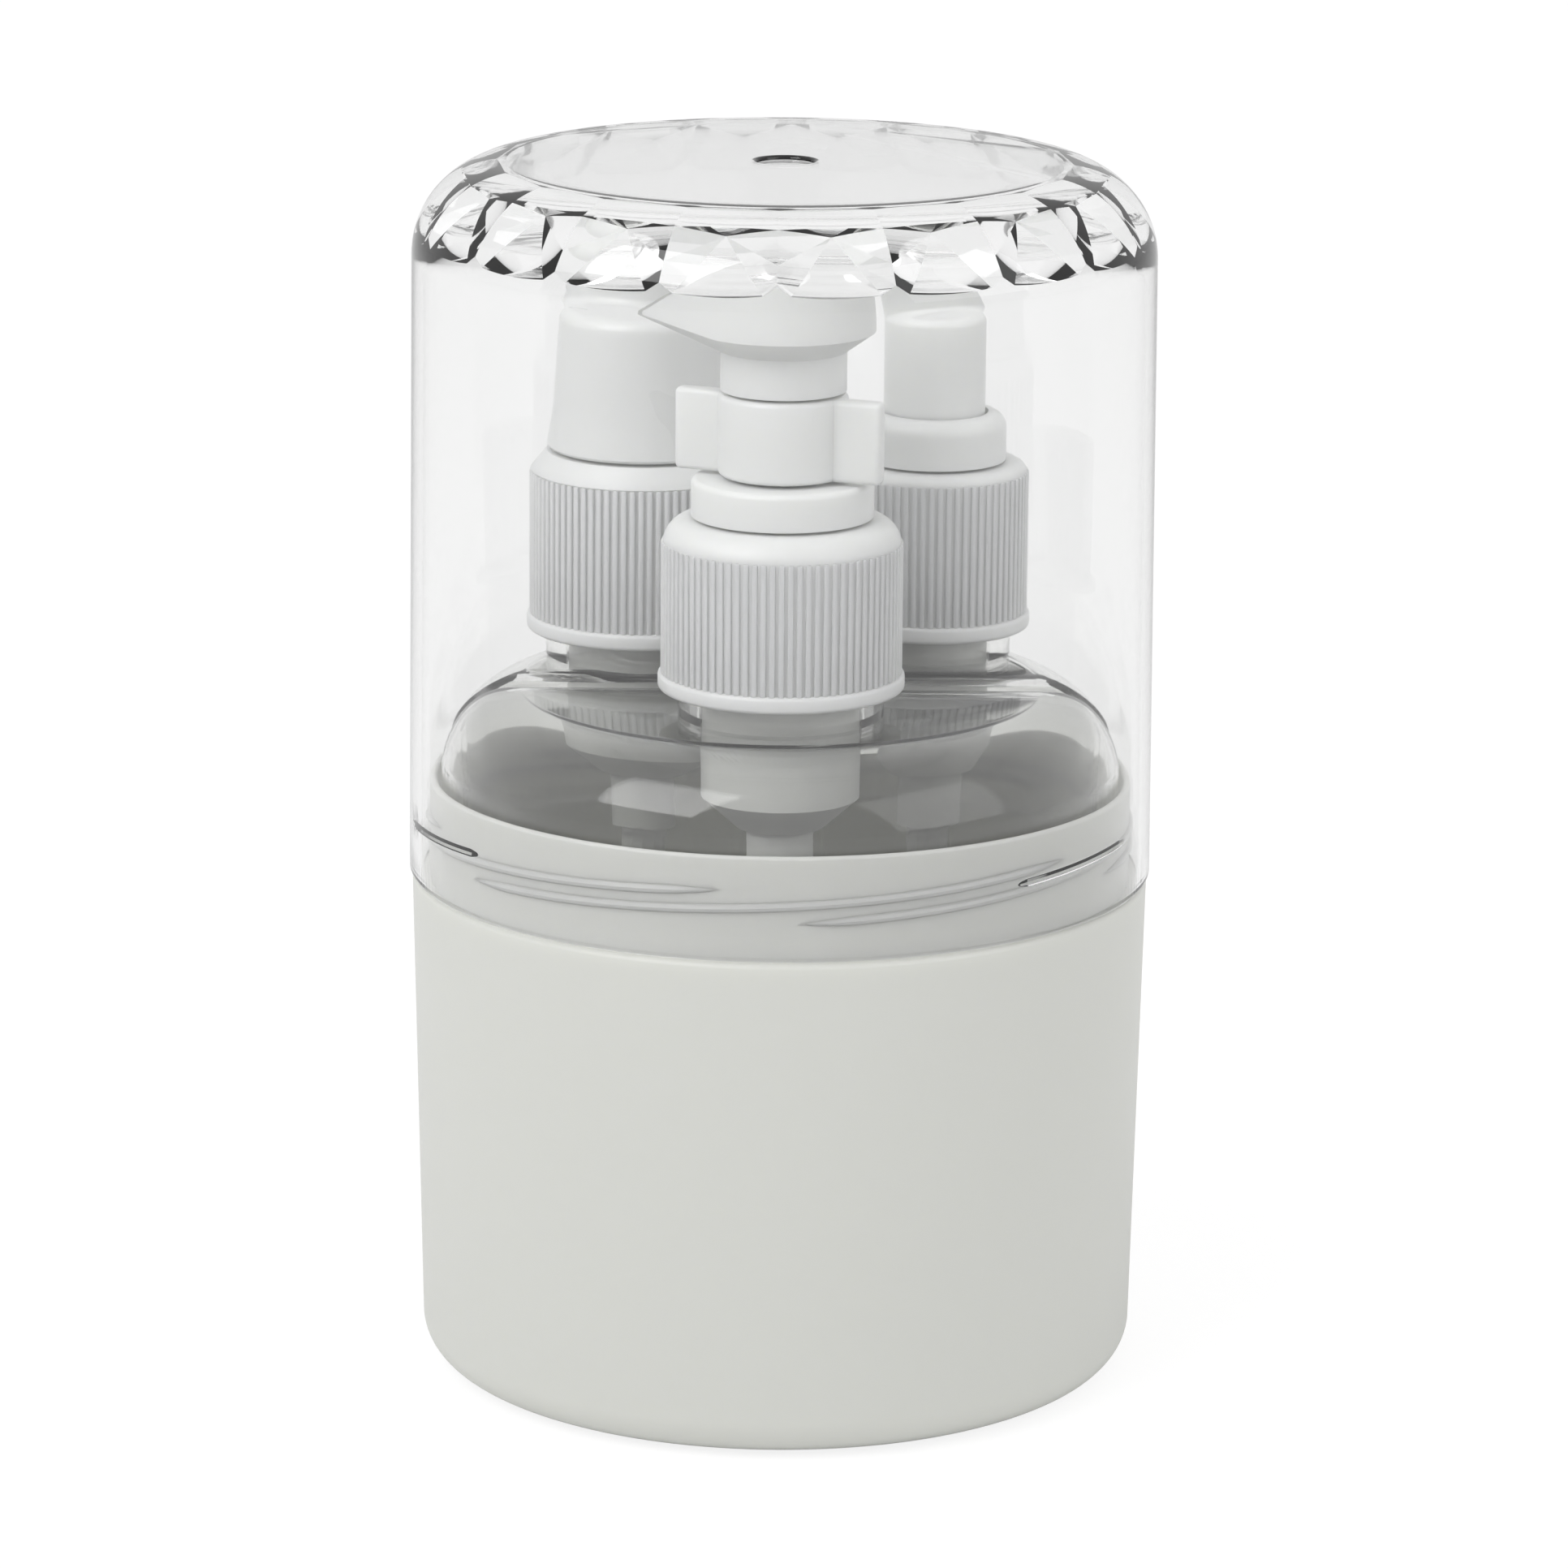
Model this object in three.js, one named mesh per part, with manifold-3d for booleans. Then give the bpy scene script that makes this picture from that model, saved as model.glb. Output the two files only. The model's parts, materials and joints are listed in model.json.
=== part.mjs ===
// Travel kit in millimetres, +Z up: three clear bottles with pump heads stand in a round cup,
// under a clear lid that screws on to the cup's neck. The front of the kit faces -Y.
import * as THREE from "three";
import { ConvexGeometry } from "three/addons/geometries/ConvexGeometry.js";
import { mergeVertices } from "three/addons/utils/BufferGeometryUtils.js";
import Module from "manifold-3d";

const wasm = await Module();
wasm.setup();

// Fits between neighbouring pieces
const SEAT_GAP = 0.3; // between pieces that rest on each other or are clamped together
const RUN_GAP = 0.35; // between pieces that slide or turn on each other
const OVERLAP = 0.5; // how far a cutting solid reaches past the face that it cuts

// Smoothness of round pieces, in steps per turn
const LARGE_STEPS = 48;
const SMALL_STEPS = 20;
const FINE_STEPS = 12;
const COIL_STEPS = 7;
const THREAD_STEP_ANGLE = 12; // degrees of turn in each step of a ridge
const RIDGE_SEGMENTS = 3; // in half of a ridge's rounded section
const EDGE_STEPS = 2; // in a quarter turn of a small rounded edge
const ROUND_STEPS = 3; // the same of a larger one
const WIDE_ROUND_STEPS = 5;
const CROWN_STEPS = 7;

// Radii from the bottles outwards, each from the one before it
const BOTTLE_RADIUS = 34.4; // of the circle that the three bottles fill
const CUP_CLEARANCE = 0.5; // from the bottles to the cup's wall at its foot
const CUP_WALL = 1.5;
const CUP_DRAFT = 0.9; // how much wider the cup is at its shoulder than at its foot
const LID_OVERHANG = 0.3; // from the cup's shoulder to the outside of the lid's mouth
const LID_WALL = 1.1;
const LID_DRAFT = 0.5; // how much narrower the lid is at its crown than at its mouth

// Cup
const CUP_SHOULDER_HEIGHT = 51;
const CUP_FOOT_ROUND = 4.2;
const CUP_FLOOR = 2.2;
const CUP_NECK_HEIGHT = 10.4;
const CUP_RIM_ROUND = 0.35;
const NECK_BORE_CLEARANCE = 0.35; // from the bottles to the bore of the cup's neck

// Screw thread between the cup's neck and the lid
const THREAD_STARTS = 6;
const THREAD_LEAD = 11;
const THREAD_ARC = 108; // degrees that one ridge runs
const THREAD_FIRST_ANGLE = -147; // where the first ridge starts, from +X
const THREAD_RISE = 3.7; // from the cup's shoulder to the start of a ridge
const THREAD_SECTION = 0.5; // radius of a ridge's rounded section
const THREAD_STAND = 0.35; // how far a ridge stands out of the neck
const LUG_COUNT = 3;
const LUG_ARC = 30;
const LUG_FIRST_ANGLE = -172;
const LUG_RISE = 5.6; // from the lid's mouth to the start of a lug
const LUG_STAND = 0.3;

// Lid
const LID_HEADROOM = 6.4; // from the lotion pump's head up to the lid's ceiling
const LID_TOP = 1.7;
const LID_CROWN_ROUND = 9.4;
const GATE_RADIUS = 3.3;
const GATE_DEPTH = 0.4;

// Facets inside the lid's crown, as rings of corners, in from its wall and down from its ceiling
const FACET_COUNT = 20;
const FACET_TURN = -1.1;
const FACET_TOP_INSET = 5.6;
const FACET_SIDE_INSET = 2.6;
const FACET_SIDE_DROP = 1.9;
const FACET_MIDDLE_INSET = 1.9;
const FACET_MIDDLE_DROP = 3;
const FACET_LOW_DROP = 5.2;

// Bottles: one half round, two quarter round
const BOTTLE_SPACING = 0.8; // between neighbouring bottles
const BOTTLE_BODY = 67.8;
const BOTTLE_WALL = 1;
const BOTTLE_EDGE_ROUND = 3;
const BOTTLE_CORNER_ROUND = 4.2;
const BOTTLE_SHOULDER_ROUND = 9; // of the outer wall into the top
const LOTION_NECK = { x: 0, y: -13 };
const MIST_NECK = { x: -14.25, y: 13.2 };
const SERUM_NECK = { x: 15.6, y: 15.2 };
const WIDE_NECK_RADIUS = 9.2;
const SLIM_NECK_RADIUS = 7.2;
const NECK_ROOT_STAND = 1;
const NECK_ROOT_HEIGHT = 2.3;
const NECK_ROOT_DEPTH = 3; // how far the root reaches down past the bottle's top
const NECK_WALL = 1.1;
const NECK_HEIGHT = 14.2;

// Collar, gasket and pump barrel, alike on the three bottles
const COLLAR_WALL = 1.5;
const COLLAR_FLANGE_STAND = 0.4;
const COLLAR_FLANGE_HEIGHT = 1.7;
const COLLAR_BORE_CLEARANCE = 1.1; // to the bottle's neck, for its thread
const COLLAR_LIP = 2.6;
const GASKET_THICKNESS = 0.8;
const BARREL_FLANGE = 1.2;
const BARREL_WALL = 1.2;
const BARREL_LENGTH = 23.9;
const BARREL_TAPER = 3.2;
const BARREL_END_RADIUS = 4.4;
const BARREL_LEDGE = 1.2;
const INLET_RADIUS = 1.2;
const INLET_LENGTH = 3;
const SOCKET_RADIUS = 3.3;
const SOCKET_DEPTH = 4.6;
const BALL_RADIUS = 2.2;
const BALL_CHAMBER_DEPTH = 3.6;
const TUBE_RADIUS = 2.3;
const TUBE_WALL = 0.6;
const TUBE_FLOOR_GAP = 1.8;
const SPIGOT_DEPTH = 2.7;
const PISTON_HEIGHT = 5;
const SPRING_INSET = 1.3; // from the barrel's bore to the middle of the spring's wire
const SPRING_WIRE = 0.4;
const SPRING_TURNS = 5;

// Lotion pump, front
const LOTION_SHOULDER_ROUND = 2.6;
const LOTION_STEM_RADIUS = 3.3;
const CHAPLET_RADIUS = 9;
const CHAPLET_ROUND = 0.5;
const CHAPLET_HEIGHT = 3.7;
const CLIP_HEIGHT = 8.2;
const CLIP_RADIUS = 6.4;
const CLIP_TURN = -22;
const CLIP_WING_REACH = 10.8;
const CLIP_WING_THICKNESS = 2;
const HEAD_NECK_RADIUS = 6.2;
const HEAD_NECK_HEIGHT = 3.9;
const HEAD_RADIUS = 9;
const HEAD_FLARE = 2;
const HEAD_THICKNESS = 6.6;
const HEAD_TOP_ROUND = 1.6;
const SPOUT_REACH = 16.8;
const SPOUT_RADIUS = 3.4;
const SPOUT_RISE = 3.2;
const SPOUT_BORE = 1.1;

// Spray pumps, back
const SPRAY_STEM_RADIUS = 2.1;
const SPRAY_STROKE = 3.5;
const TURRET_HEIGHT = 3;
const BUTTON_SKIRT_WALL = 0.9;
const BUTTON_ROUND = 0.8;
const MIST_TURRET_RADIUS = 5;
const MIST_BUTTON_HEIGHT = 9.2;
const MIST_BUTTON_TURN = -135; // of the nozzle, from the front
const MIST_COLLAR_RISE = 1.4; // how much taller the collar is than the other two
const MIST_SHOULDER_HEIGHT = 2.2;
const MIST_SHOULDER_WIDTH = 1.65;
const MIST_NECK_HEIGHT = 2.3;
const OVERCAP_BORE_WALL = 1.2; // of the collar's neck inside the overcap
const OVERCAP_HEIGHT = 14.3;
const OVERCAP_WALL = 1.3;
const OVERCAP_RIM_WALL = 1.95;
const OVERCAP_RIM_HEIGHT = 4.1;
const OVERCAP_DRAFT = 0.6; // how much narrower the overcap is at its top than at its rim's end
const OVERCAP_ROUND = 1.4;
const SERUM_TURRET_RADIUS = 4;
const SERUM_BUTTON_HEIGHT = 14.4;
const SERUM_BUTTON_TURN = 135;
const SERUM_SHOULDER_ROUND = 1.2;
const SHROUD_WALL = 1.9;
const SHROUD_HEIGHT = 4.9;
const SHROUD_ROUND = 1.7;
const NOZZLE_RADIUS = 1.7;
const NOZZLE_DEPTH = 1.6;
const NOZZLE_BORE = 0.4;
const NOZZLE_DROP = 3.4; // from the button's top to the nozzle's axis

// Heights that follow from the sizes above
const cupNeckTop = CUP_SHOULDER_HEIGHT + CUP_NECK_HEIGHT;
const lidMouth = CUP_SHOULDER_HEIGHT + SEAT_GAP;
const bottleBase = CUP_FLOOR + SEAT_GAP;
const bottleTop = bottleBase + BOTTLE_BODY;
const bottleRim = bottleTop + NECK_HEIGHT;
const collarBase = bottleTop + NECK_ROOT_HEIGHT + SEAT_GAP;
const gasketBase = bottleRim + SEAT_GAP;
const flangeBase = gasketBase + GASKET_THICKNESS + SEAT_GAP;
const flangeTop = flangeBase + BARREL_FLANGE;
const collarLip = flangeTop + SEAT_GAP;
const collarTop = collarLip + COLLAR_LIP;
const clipBase = collarTop + SEAT_GAP + CHAPLET_HEIGHT + SEAT_GAP;
const headBase = clipBase + CLIP_HEIGHT + SEAT_GAP;
const headTop = headBase + HEAD_NECK_HEIGHT + HEAD_FLARE + HEAD_THICKNESS;
const lidCeiling = headTop + LID_HEADROOM;
const lidTop = lidCeiling + LID_TOP;
const barrelEnd = flangeBase - BARREL_LENGTH;
const barrelLedge = barrelEnd + BARREL_LEDGE;
const ballSeat = barrelLedge - BALL_CHAMBER_DEPTH;
const socketTop = ballSeat - INLET_LENGTH;
const socketBase = socketTop - SOCKET_DEPTH;
const spigotBase = flangeTop - SPIGOT_DEPTH;
const pistonTop = spigotBase - SEAT_GAP;
const pistonBase = pistonTop - PISTON_HEIGHT;

// Radii that follow from the sizes above
const cupFootInside = BOTTLE_RADIUS + CUP_CLEARANCE;
const cupFootRadius = cupFootInside + CUP_WALL;
const cupShoulderRadius = cupFootRadius + CUP_DRAFT;
const lidMouthRadius = cupShoulderRadius + LID_OVERHANG;
const lidMouthBore = lidMouthRadius - LID_WALL;
const lidCrownRadius = lidMouthRadius - LID_DRAFT;
const lidCrownBore = lidCrownRadius - LID_WALL;
const cupNeckRadius = lidMouthBore - LUG_STAND - RUN_GAP - THREAD_STAND;
const cupNeckBore = BOTTLE_RADIUS + NECK_BORE_CLEARANCE;
const mistButtonRadius = MIST_TURRET_RADIUS + RUN_GAP + BUTTON_SKIRT_WALL;
const serumButtonRadius = SERUM_TURRET_RADIUS + RUN_GAP + BUTTON_SKIRT_WALL;
const mistNeckRadius = mistButtonRadius + RUN_GAP + OVERCAP_BORE_WALL;
const overcapBore = mistNeckRadius + RUN_GAP;

// Radii of one bottle's neck and of the closure and pump that fit it
function fitOf(neckRadius) {
  const neckBore = neckRadius - NECK_WALL;
  const barrelRadius = neckBore - SEAT_GAP;
  const barrelBore = barrelRadius - BARREL_WALL;
  const spigotRadius = barrelBore - SEAT_GAP;
  const collarBore = neckRadius + COLLAR_BORE_CLEARANCE;
  const collarRadius = collarBore + COLLAR_WALL;
  return { neckRadius, neckBore, barrelRadius, barrelBore, spigotRadius, collarBore, collarRadius };
}

const wideFit = fitOf(WIDE_NECK_RADIUS);
const slimFit = fitOf(SLIM_NECK_RADIUS);

const clearPlastic = { color: "#eef1ef", roughness: 0.06, transparent: true, opacity: 0.35 };
const MATERIALS = {
  cup: { color: "#dbdcd5", roughness: 0.42 },
  lid: clearPlastic,
  bottle: { ...clearPlastic, color: "#dfe2dc" },
  pump: { color: "#f1f2f0", roughness: 0.38 },
  seal: { color: "#e4e4df", roughness: 0.7 },
  steel: { color: "#c4c6c8", roughness: 0.3, metalness: 1 },
  tube: { color: "#e9ebe8", roughness: 0.35 },
};

const kit = new THREE.Group();
const radians = THREE.MathUtils.degToRad;

// A geometry as a manifold solid
function solid(geometry) {
  const bare = geometry.clone();
  bare.deleteAttribute("normal");
  bare.deleteAttribute("uv");
  const merged = mergeVertices(bare, 1e-4);
  const vertProperties = merged.attributes.position.array;
  const triVerts = new Uint32Array(merged.index.array);
  return new wasm.Manifold(new wasm.Mesh({ numProp: 3, vertProperties, triVerts }));
}

// Adds one named piece of the kit, made of a manifold solid
function place(name, body, material, group = kit) {
  const made = body.getMesh();
  const geometry = new THREE.BufferGeometry();
  geometry.setAttribute("position", new THREE.BufferAttribute(made.vertProperties, 3));
  geometry.setIndex(new THREE.BufferAttribute(made.triVerts, 1));
  geometry.computeVertexNormals();
  const mesh = new THREE.Mesh(geometry, new THREE.MeshStandardMaterial(MATERIALS[material]));
  mesh.name = name;
  group.add(mesh);
}

// Points on a circle's arc in a profile, angles in degrees from the radial direction
function arc(radius, height, round, from, to, steps) {
  return Array.from({ length: steps + 1 }, (_, i) => {
    const angle = radians(from + ((to - from) * i) / steps);
    return [radius + round * Math.cos(angle), height + round * Math.sin(angle)];
  });
}

// A solid turned about +Z from a closed profile of radius and height pairs, anticlockwise
function turned(profile, steps = SMALL_STEPS) {
  const points = [...profile, profile[0]].map(([radius, height]) => new THREE.Vector2(radius, height));
  return solid(new THREE.LatheGeometry(points, steps).rotateX(Math.PI / 2));
}

function rod(radius, from, to, steps = SMALL_STEPS) {
  return turned([[0, from], [radius, from], [radius, to], [0, to]], steps);
}

function tube(outer, inner, from, to, steps = SMALL_STEPS) {
  return turned([[inner, from], [outer, from], [outer, to], [inner, to]], steps);
}

// A rounded rod along a helix about +Z
class Helix extends THREE.Curve {
  constructor(radius, base, rise, from, sweep) {
    super();
    Object.assign(this, { radius, base, rise, from, sweep });
  }
  getPoint(t, target = new THREE.Vector3()) {
    const angle = this.from + this.sweep * t;
    const [x, y] = [this.radius * Math.cos(angle), this.radius * Math.sin(angle)];
    return target.set(x, y, this.base + this.rise * t);
  }
}

function helicalRod(curve, section, steps) {
  const shape = new THREE.Shape().absarc(0, 0, section, 0, 2 * Math.PI);
  const options = { steps, extrudePath: curve, curveSegments: RIDGE_SEGMENTS, bevelEnabled: false };
  return solid(new THREE.ExtrudeGeometry(shape, options));
}

// One ridge of the screw thread, on a wall of the given radius
function ridge(centreRadius, base, arcDegrees, fromDegrees) {
  const sweep = radians(arcDegrees);
  const rise = (THREAD_LEAD * arcDegrees) / 360;
  const curve = new Helix(centreRadius, base, rise, radians(fromDegrees), sweep);
  return helicalRod(curve, THREAD_SECTION, Math.ceil(arcDegrees / THREAD_STEP_ANGLE));
}

function cup() {
  const neckTop = cupNeckTop - CUP_RIM_ROUND;
  const slope = CUP_DRAFT / CUP_SHOULDER_HEIGHT;
  const insideTop = CUP_SHOULDER_HEIGHT - CUP_WALL;
  const insideRound = CUP_FOOT_ROUND - CUP_WALL;
  let body = turned([
    [0, 0],
    ...arc(cupFootRadius - CUP_FOOT_ROUND, CUP_FOOT_ROUND, CUP_FOOT_ROUND, -90, 0, WIDE_ROUND_STEPS),
    [cupShoulderRadius, CUP_SHOULDER_HEIGHT],
    [cupNeckRadius, CUP_SHOULDER_HEIGHT],
    ...arc(cupNeckRadius - CUP_RIM_ROUND, neckTop, CUP_RIM_ROUND, 0, 90, EDGE_STEPS),
    ...arc(cupNeckBore + CUP_RIM_ROUND, neckTop, CUP_RIM_ROUND, 90, 180, EDGE_STEPS),
    [cupNeckBore, CUP_SHOULDER_HEIGHT + CUP_WALL],
    [cupFootInside + slope * insideTop, insideTop],
    ...arc(cupFootInside - insideRound, CUP_FLOOR + insideRound, insideRound, 0, -90, ROUND_STEPS),
    [0, CUP_FLOOR],
  ], LARGE_STEPS);
  const centre = cupNeckRadius + THREAD_STAND - THREAD_SECTION;
  for (let i = 0; i < THREAD_STARTS; i += 1) {
    const start = THREAD_FIRST_ANGLE + (360 * i) / THREAD_STARTS;
    body = body.add(ridge(centre, CUP_SHOULDER_HEIGHT + THREAD_RISE, THREAD_ARC, start));
  }
  place("cup", body, "cup");
}

// Corner of the facets: inset from the lid's wall, drop below its ceiling, and half facets round
function facetCorner(inset, drop, halfSteps) {
  const angle = radians(FACET_TURN + (180 / FACET_COUNT) * halfSteps - 90);
  const radius = lidCrownBore - inset;
  return new THREE.Vector3(radius * Math.cos(angle), radius * Math.sin(angle), lidCeiling - drop);
}

// Convex solid whose crown carries the facets, wider than the lid's bore below them
function facetedCore() {
  const halfTurn = Math.cos(Math.PI / FACET_COUNT);
  const lowMiddle = lidCrownBore * halfTurn;
  const fall = (FACET_LOW_DROP - FACET_MIDDLE_DROP) / (lowMiddle - lidCrownBore + FACET_MIDDLE_INSET);
  const wideDrop = FACET_LOW_DROP + fall * lidMouthRadius * halfTurn - fall * lowMiddle;
  const widening = lidCrownBore - lidMouthRadius;
  const points = [];
  for (let i = 0; i < FACET_COUNT; i += 1) {
    points.push(facetCorner(FACET_TOP_INSET, 0, 2 * i));
    points.push(facetCorner(FACET_SIDE_INSET, FACET_SIDE_DROP, 2 * i));
    points.push(facetCorner(FACET_MIDDLE_INSET, FACET_MIDDLE_DROP, 2 * i + 1));
    points.push(facetCorner(widening, wideDrop, 2 * i));
    points.push(facetCorner(widening, lidTop - lidMouth, 2 * i));
  }
  return solid(new ConvexGeometry(points));
}

function lid() {
  const roundHeight = lidTop - LID_CROWN_ROUND;
  const shell = turned([
    [0, lidMouth],
    [lidMouthRadius, lidMouth],
    ...arc(lidCrownRadius - LID_CROWN_ROUND, roundHeight, LID_CROWN_ROUND, 0, 90, CROWN_STEPS),
    [GATE_RADIUS, lidTop],
    [GATE_RADIUS - GATE_DEPTH, lidTop - GATE_DEPTH],
    [0, lidTop - GATE_DEPTH],
  ], LARGE_STEPS);
  const bore = turned([
    [0, lidMouth - OVERLAP],
    [lidMouthBore, lidMouth - OVERLAP],
    [lidCrownBore, lidCeiling],
    [0, lidCeiling],
  ], LARGE_STEPS);
  let body = shell.subtract(bore.intersect(facetedCore()));
  const centre = lidMouthBore - LUG_STAND + THREAD_SECTION;
  for (let i = 0; i < LUG_COUNT; i += 1) {
    const start = LUG_FIRST_ANGLE + (360 * i) / LUG_COUNT;
    body = body.add(ridge(centre, lidMouth + LUG_RISE, LUG_ARC, start));
  }
  place("lid", body, "lid");
}

// Plan of a bottle between two rays from the kit's axis, drawn in by an inset on every side
function sectorPlan(fromDegrees, toDegrees, inset) {
  const from = radians(fromDegrees);
  const to = radians(toDegrees);
  const radius = BOTTLE_RADIUS - inset;
  const corner = BOTTLE_CORNER_ROUND - inset;
  const side = BOTTLE_SPACING / 2 + inset + corner;
  const lean = Math.asin(side / (radius - corner));
  const right = Math.PI / 2;
  const plan = new THREE.Shape();
  const cornerAt = (angle, reach, start, end) =>
    plan.absarc(reach * Math.cos(angle), reach * Math.sin(angle), corner, start, end);
  cornerAt(from + lean, radius - corner, from - right, from + lean);
  plan.absarc(0, 0, radius, from + lean, to - lean);
  cornerAt(to - lean, radius - corner, to - lean, to + right);
  if (to - from < Math.PI) {
    const middle = (from + to) / 2;
    cornerAt(middle, side / Math.sin((to - from) / 2), to + right, from + 3 * right);
  }
  return plan;
}

// A block of a bottle's plan with rounded edges and a domed shoulder
function sectorBlock(fromDegrees, toDegrees, inset, base, top) {
  const round = BOTTLE_EDGE_ROUND - inset;
  const options = {
    depth: top - base - 2 * round,
    bevelThickness: round,
    bevelSize: round,
    bevelOffset: -round,
    bevelSegments: EDGE_STEPS,
    curveSegments: WIDE_ROUND_STEPS,
  };
  const block = new THREE.ExtrudeGeometry(sectorPlan(fromDegrees, toDegrees, inset), options);
  const shoulder = BOTTLE_SHOULDER_ROUND - inset;
  const dome = turned([
    [0, base - OVERLAP],
    [BOTTLE_RADIUS - inset, base - OVERLAP],
    ...arc(BOTTLE_RADIUS - inset - shoulder, top - shoulder, shoulder, 0, 90, WIDE_ROUND_STEPS),
    [0, top],
  ], LARGE_STEPS);
  return solid(block.translate(0, 0, base + round)).intersect(dome);
}

function bottle(name, fromDegrees, toDegrees, centre, fit) {
  const outside = sectorBlock(fromDegrees, toDegrees, 0, bottleBase, bottleTop);
  const floor = bottleBase + BOTTLE_WALL;
  const ceiling = bottleTop - BOTTLE_WALL;
  const inside = sectorBlock(fromDegrees, toDegrees, BOTTLE_WALL, floor, ceiling);
  const rootRadius = fit.neckRadius + NECK_ROOT_STAND;
  const rootBase = bottleTop - NECK_ROOT_DEPTH;
  const neck = turned([
    [0, rootBase],
    [rootRadius, rootBase],
    [rootRadius, bottleTop + NECK_ROOT_HEIGHT],
    [fit.neckRadius, bottleTop + NECK_ROOT_HEIGHT],
    [fit.neckRadius, bottleRim],
    [0, bottleRim],
  ]).translate(centre.x, centre.y, 0);
  const bore = rod(fit.neckBore, rootBase - OVERLAP, bottleRim + OVERLAP).translate(centre.x, centre.y, 0);
  place(name, outside.add(neck).subtract(inside).subtract(bore), "bottle");
}

// Screw collar. The shoulder's points end at its top, and a raised neck may stand on that.
function collar(name, group, fit, holeRadius, shoulder, top, raised = []) {
  const flangeRadius = fit.collarRadius + COLLAR_FLANGE_STAND;
  const body = turned([
    [fit.collarBore, collarBase],
    [flangeRadius, collarBase],
    [flangeRadius, collarBase + COLLAR_FLANGE_HEIGHT],
    [fit.collarRadius, collarBase + COLLAR_FLANGE_HEIGHT],
    ...shoulder,
    ...raised,
    [holeRadius, top],
    [holeRadius, collarLip],
    [fit.collarBore, collarLip],
  ], SMALL_STEPS);
  place(name, body, "pump", group);
}

// A rounded shoulder of a collar
function roundShoulder(fit, round) {
  return arc(fit.collarRadius - round, collarTop - round, round, 0, 90, ROUND_STEPS + 1);
}

// Barrel that hangs in the bottle's neck: flange, bore, ball chamber and socket for the dip tube
function barrel(name, group, fit) {
  const body = turned([
    [TUBE_RADIUS + SEAT_GAP, socketBase],
    [SOCKET_RADIUS, socketBase],
    [SOCKET_RADIUS, barrelEnd - BARREL_TAPER],
    [BARREL_END_RADIUS, barrelEnd - BARREL_TAPER],
    [fit.barrelRadius, barrelEnd],
    [fit.barrelRadius, flangeBase],
    [fit.neckRadius, flangeBase],
    [fit.neckRadius, flangeTop],
    [fit.barrelBore, flangeTop],
    [fit.barrelBore, barrelLedge],
    [BALL_RADIUS + SEAT_GAP, barrelLedge],
    [BALL_RADIUS + SEAT_GAP, ballSeat],
    [INLET_RADIUS, ballSeat],
    [INLET_RADIUS, socketTop],
    [TUBE_RADIUS + SEAT_GAP, socketTop],
  ]);
  place(name, body, "pump", group);
}

function ball(name, group) {
  const height = ballSeat + Math.sqrt(BALL_RADIUS ** 2 - INLET_RADIUS ** 2) + SEAT_GAP / 2;
  const geometry = new THREE.SphereGeometry(BALL_RADIUS, FINE_STEPS, FINE_STEPS / 2).translate(0, 0, height);
  place(name, solid(geometry), "steel", group);
}

function spring(name, group, fit) {
  const base = barrelLedge + SEAT_GAP + SPRING_WIRE;
  const length = pistonBase - SEAT_GAP - SPRING_WIRE - base;
  const curve = new Helix(fit.barrelBore - SPRING_INSET, base, length, 0, 2 * Math.PI * SPRING_TURNS);
  place(name, helicalRod(curve, SPRING_WIRE, COIL_STEPS * SPRING_TURNS), "steel", group);
}

// Gasket, barrel, ball, spring, piston and dip tube of one pump
function pumpInside(prefix, group, fit, stemRadius) {
  const gasketTop = gasketBase + GASKET_THICKNESS;
  const gasket = tube(fit.neckRadius, fit.barrelRadius + SEAT_GAP, gasketBase, gasketTop);
  place(prefix + "_gasket", gasket, "seal", group);
  barrel(prefix + "_barrel", group, fit);
  ball(prefix + "_ball", group);
  spring(prefix + "_spring", group, fit);
  const piston = tube(fit.barrelBore - RUN_GAP, stemRadius + SEAT_GAP, pistonBase, pistonTop);
  place(prefix + "_piston", piston, "seal", group);
  const tubeEnd = bottleBase + BOTTLE_WALL + TUBE_FLOOR_GAP;
  const dipTube = tube(TUBE_RADIUS, TUBE_RADIUS - TUBE_WALL, tubeEnd, socketTop - SEAT_GAP, FINE_STEPS);
  place(prefix + "_dip_tube", dipTube, "tube", group);
}

// Hollow stem, from the piston's foot to its top end
function stem(name, group, radius, top) {
  const bore = radius / 2;
  const body = turned([
    [0, pistonBase],
    [radius, pistonBase],
    [radius, top],
    [bore, top],
    [bore, pistonBase + PISTON_HEIGHT / 2],
    [0, pistonBase + PISTON_HEIGHT / 2],
  ], FINE_STEPS);
  place(name, body, "pump", group);
}

function chaplet(group, base, top) {
  const bore = LOTION_STEM_RADIUS + RUN_GAP;
  const body = turned([
    [bore, spigotBase],
    [wideFit.spigotRadius, spigotBase],
    [wideFit.spigotRadius, base],
    [CHAPLET_RADIUS, base],
    ...arc(CHAPLET_RADIUS - CHAPLET_ROUND, top - CHAPLET_ROUND, CHAPLET_ROUND, 0, 90, EDGE_STEPS),
    [bore, top],
  ]);
  place("lotion_chaplet", body, "pump", group);
}

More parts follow.
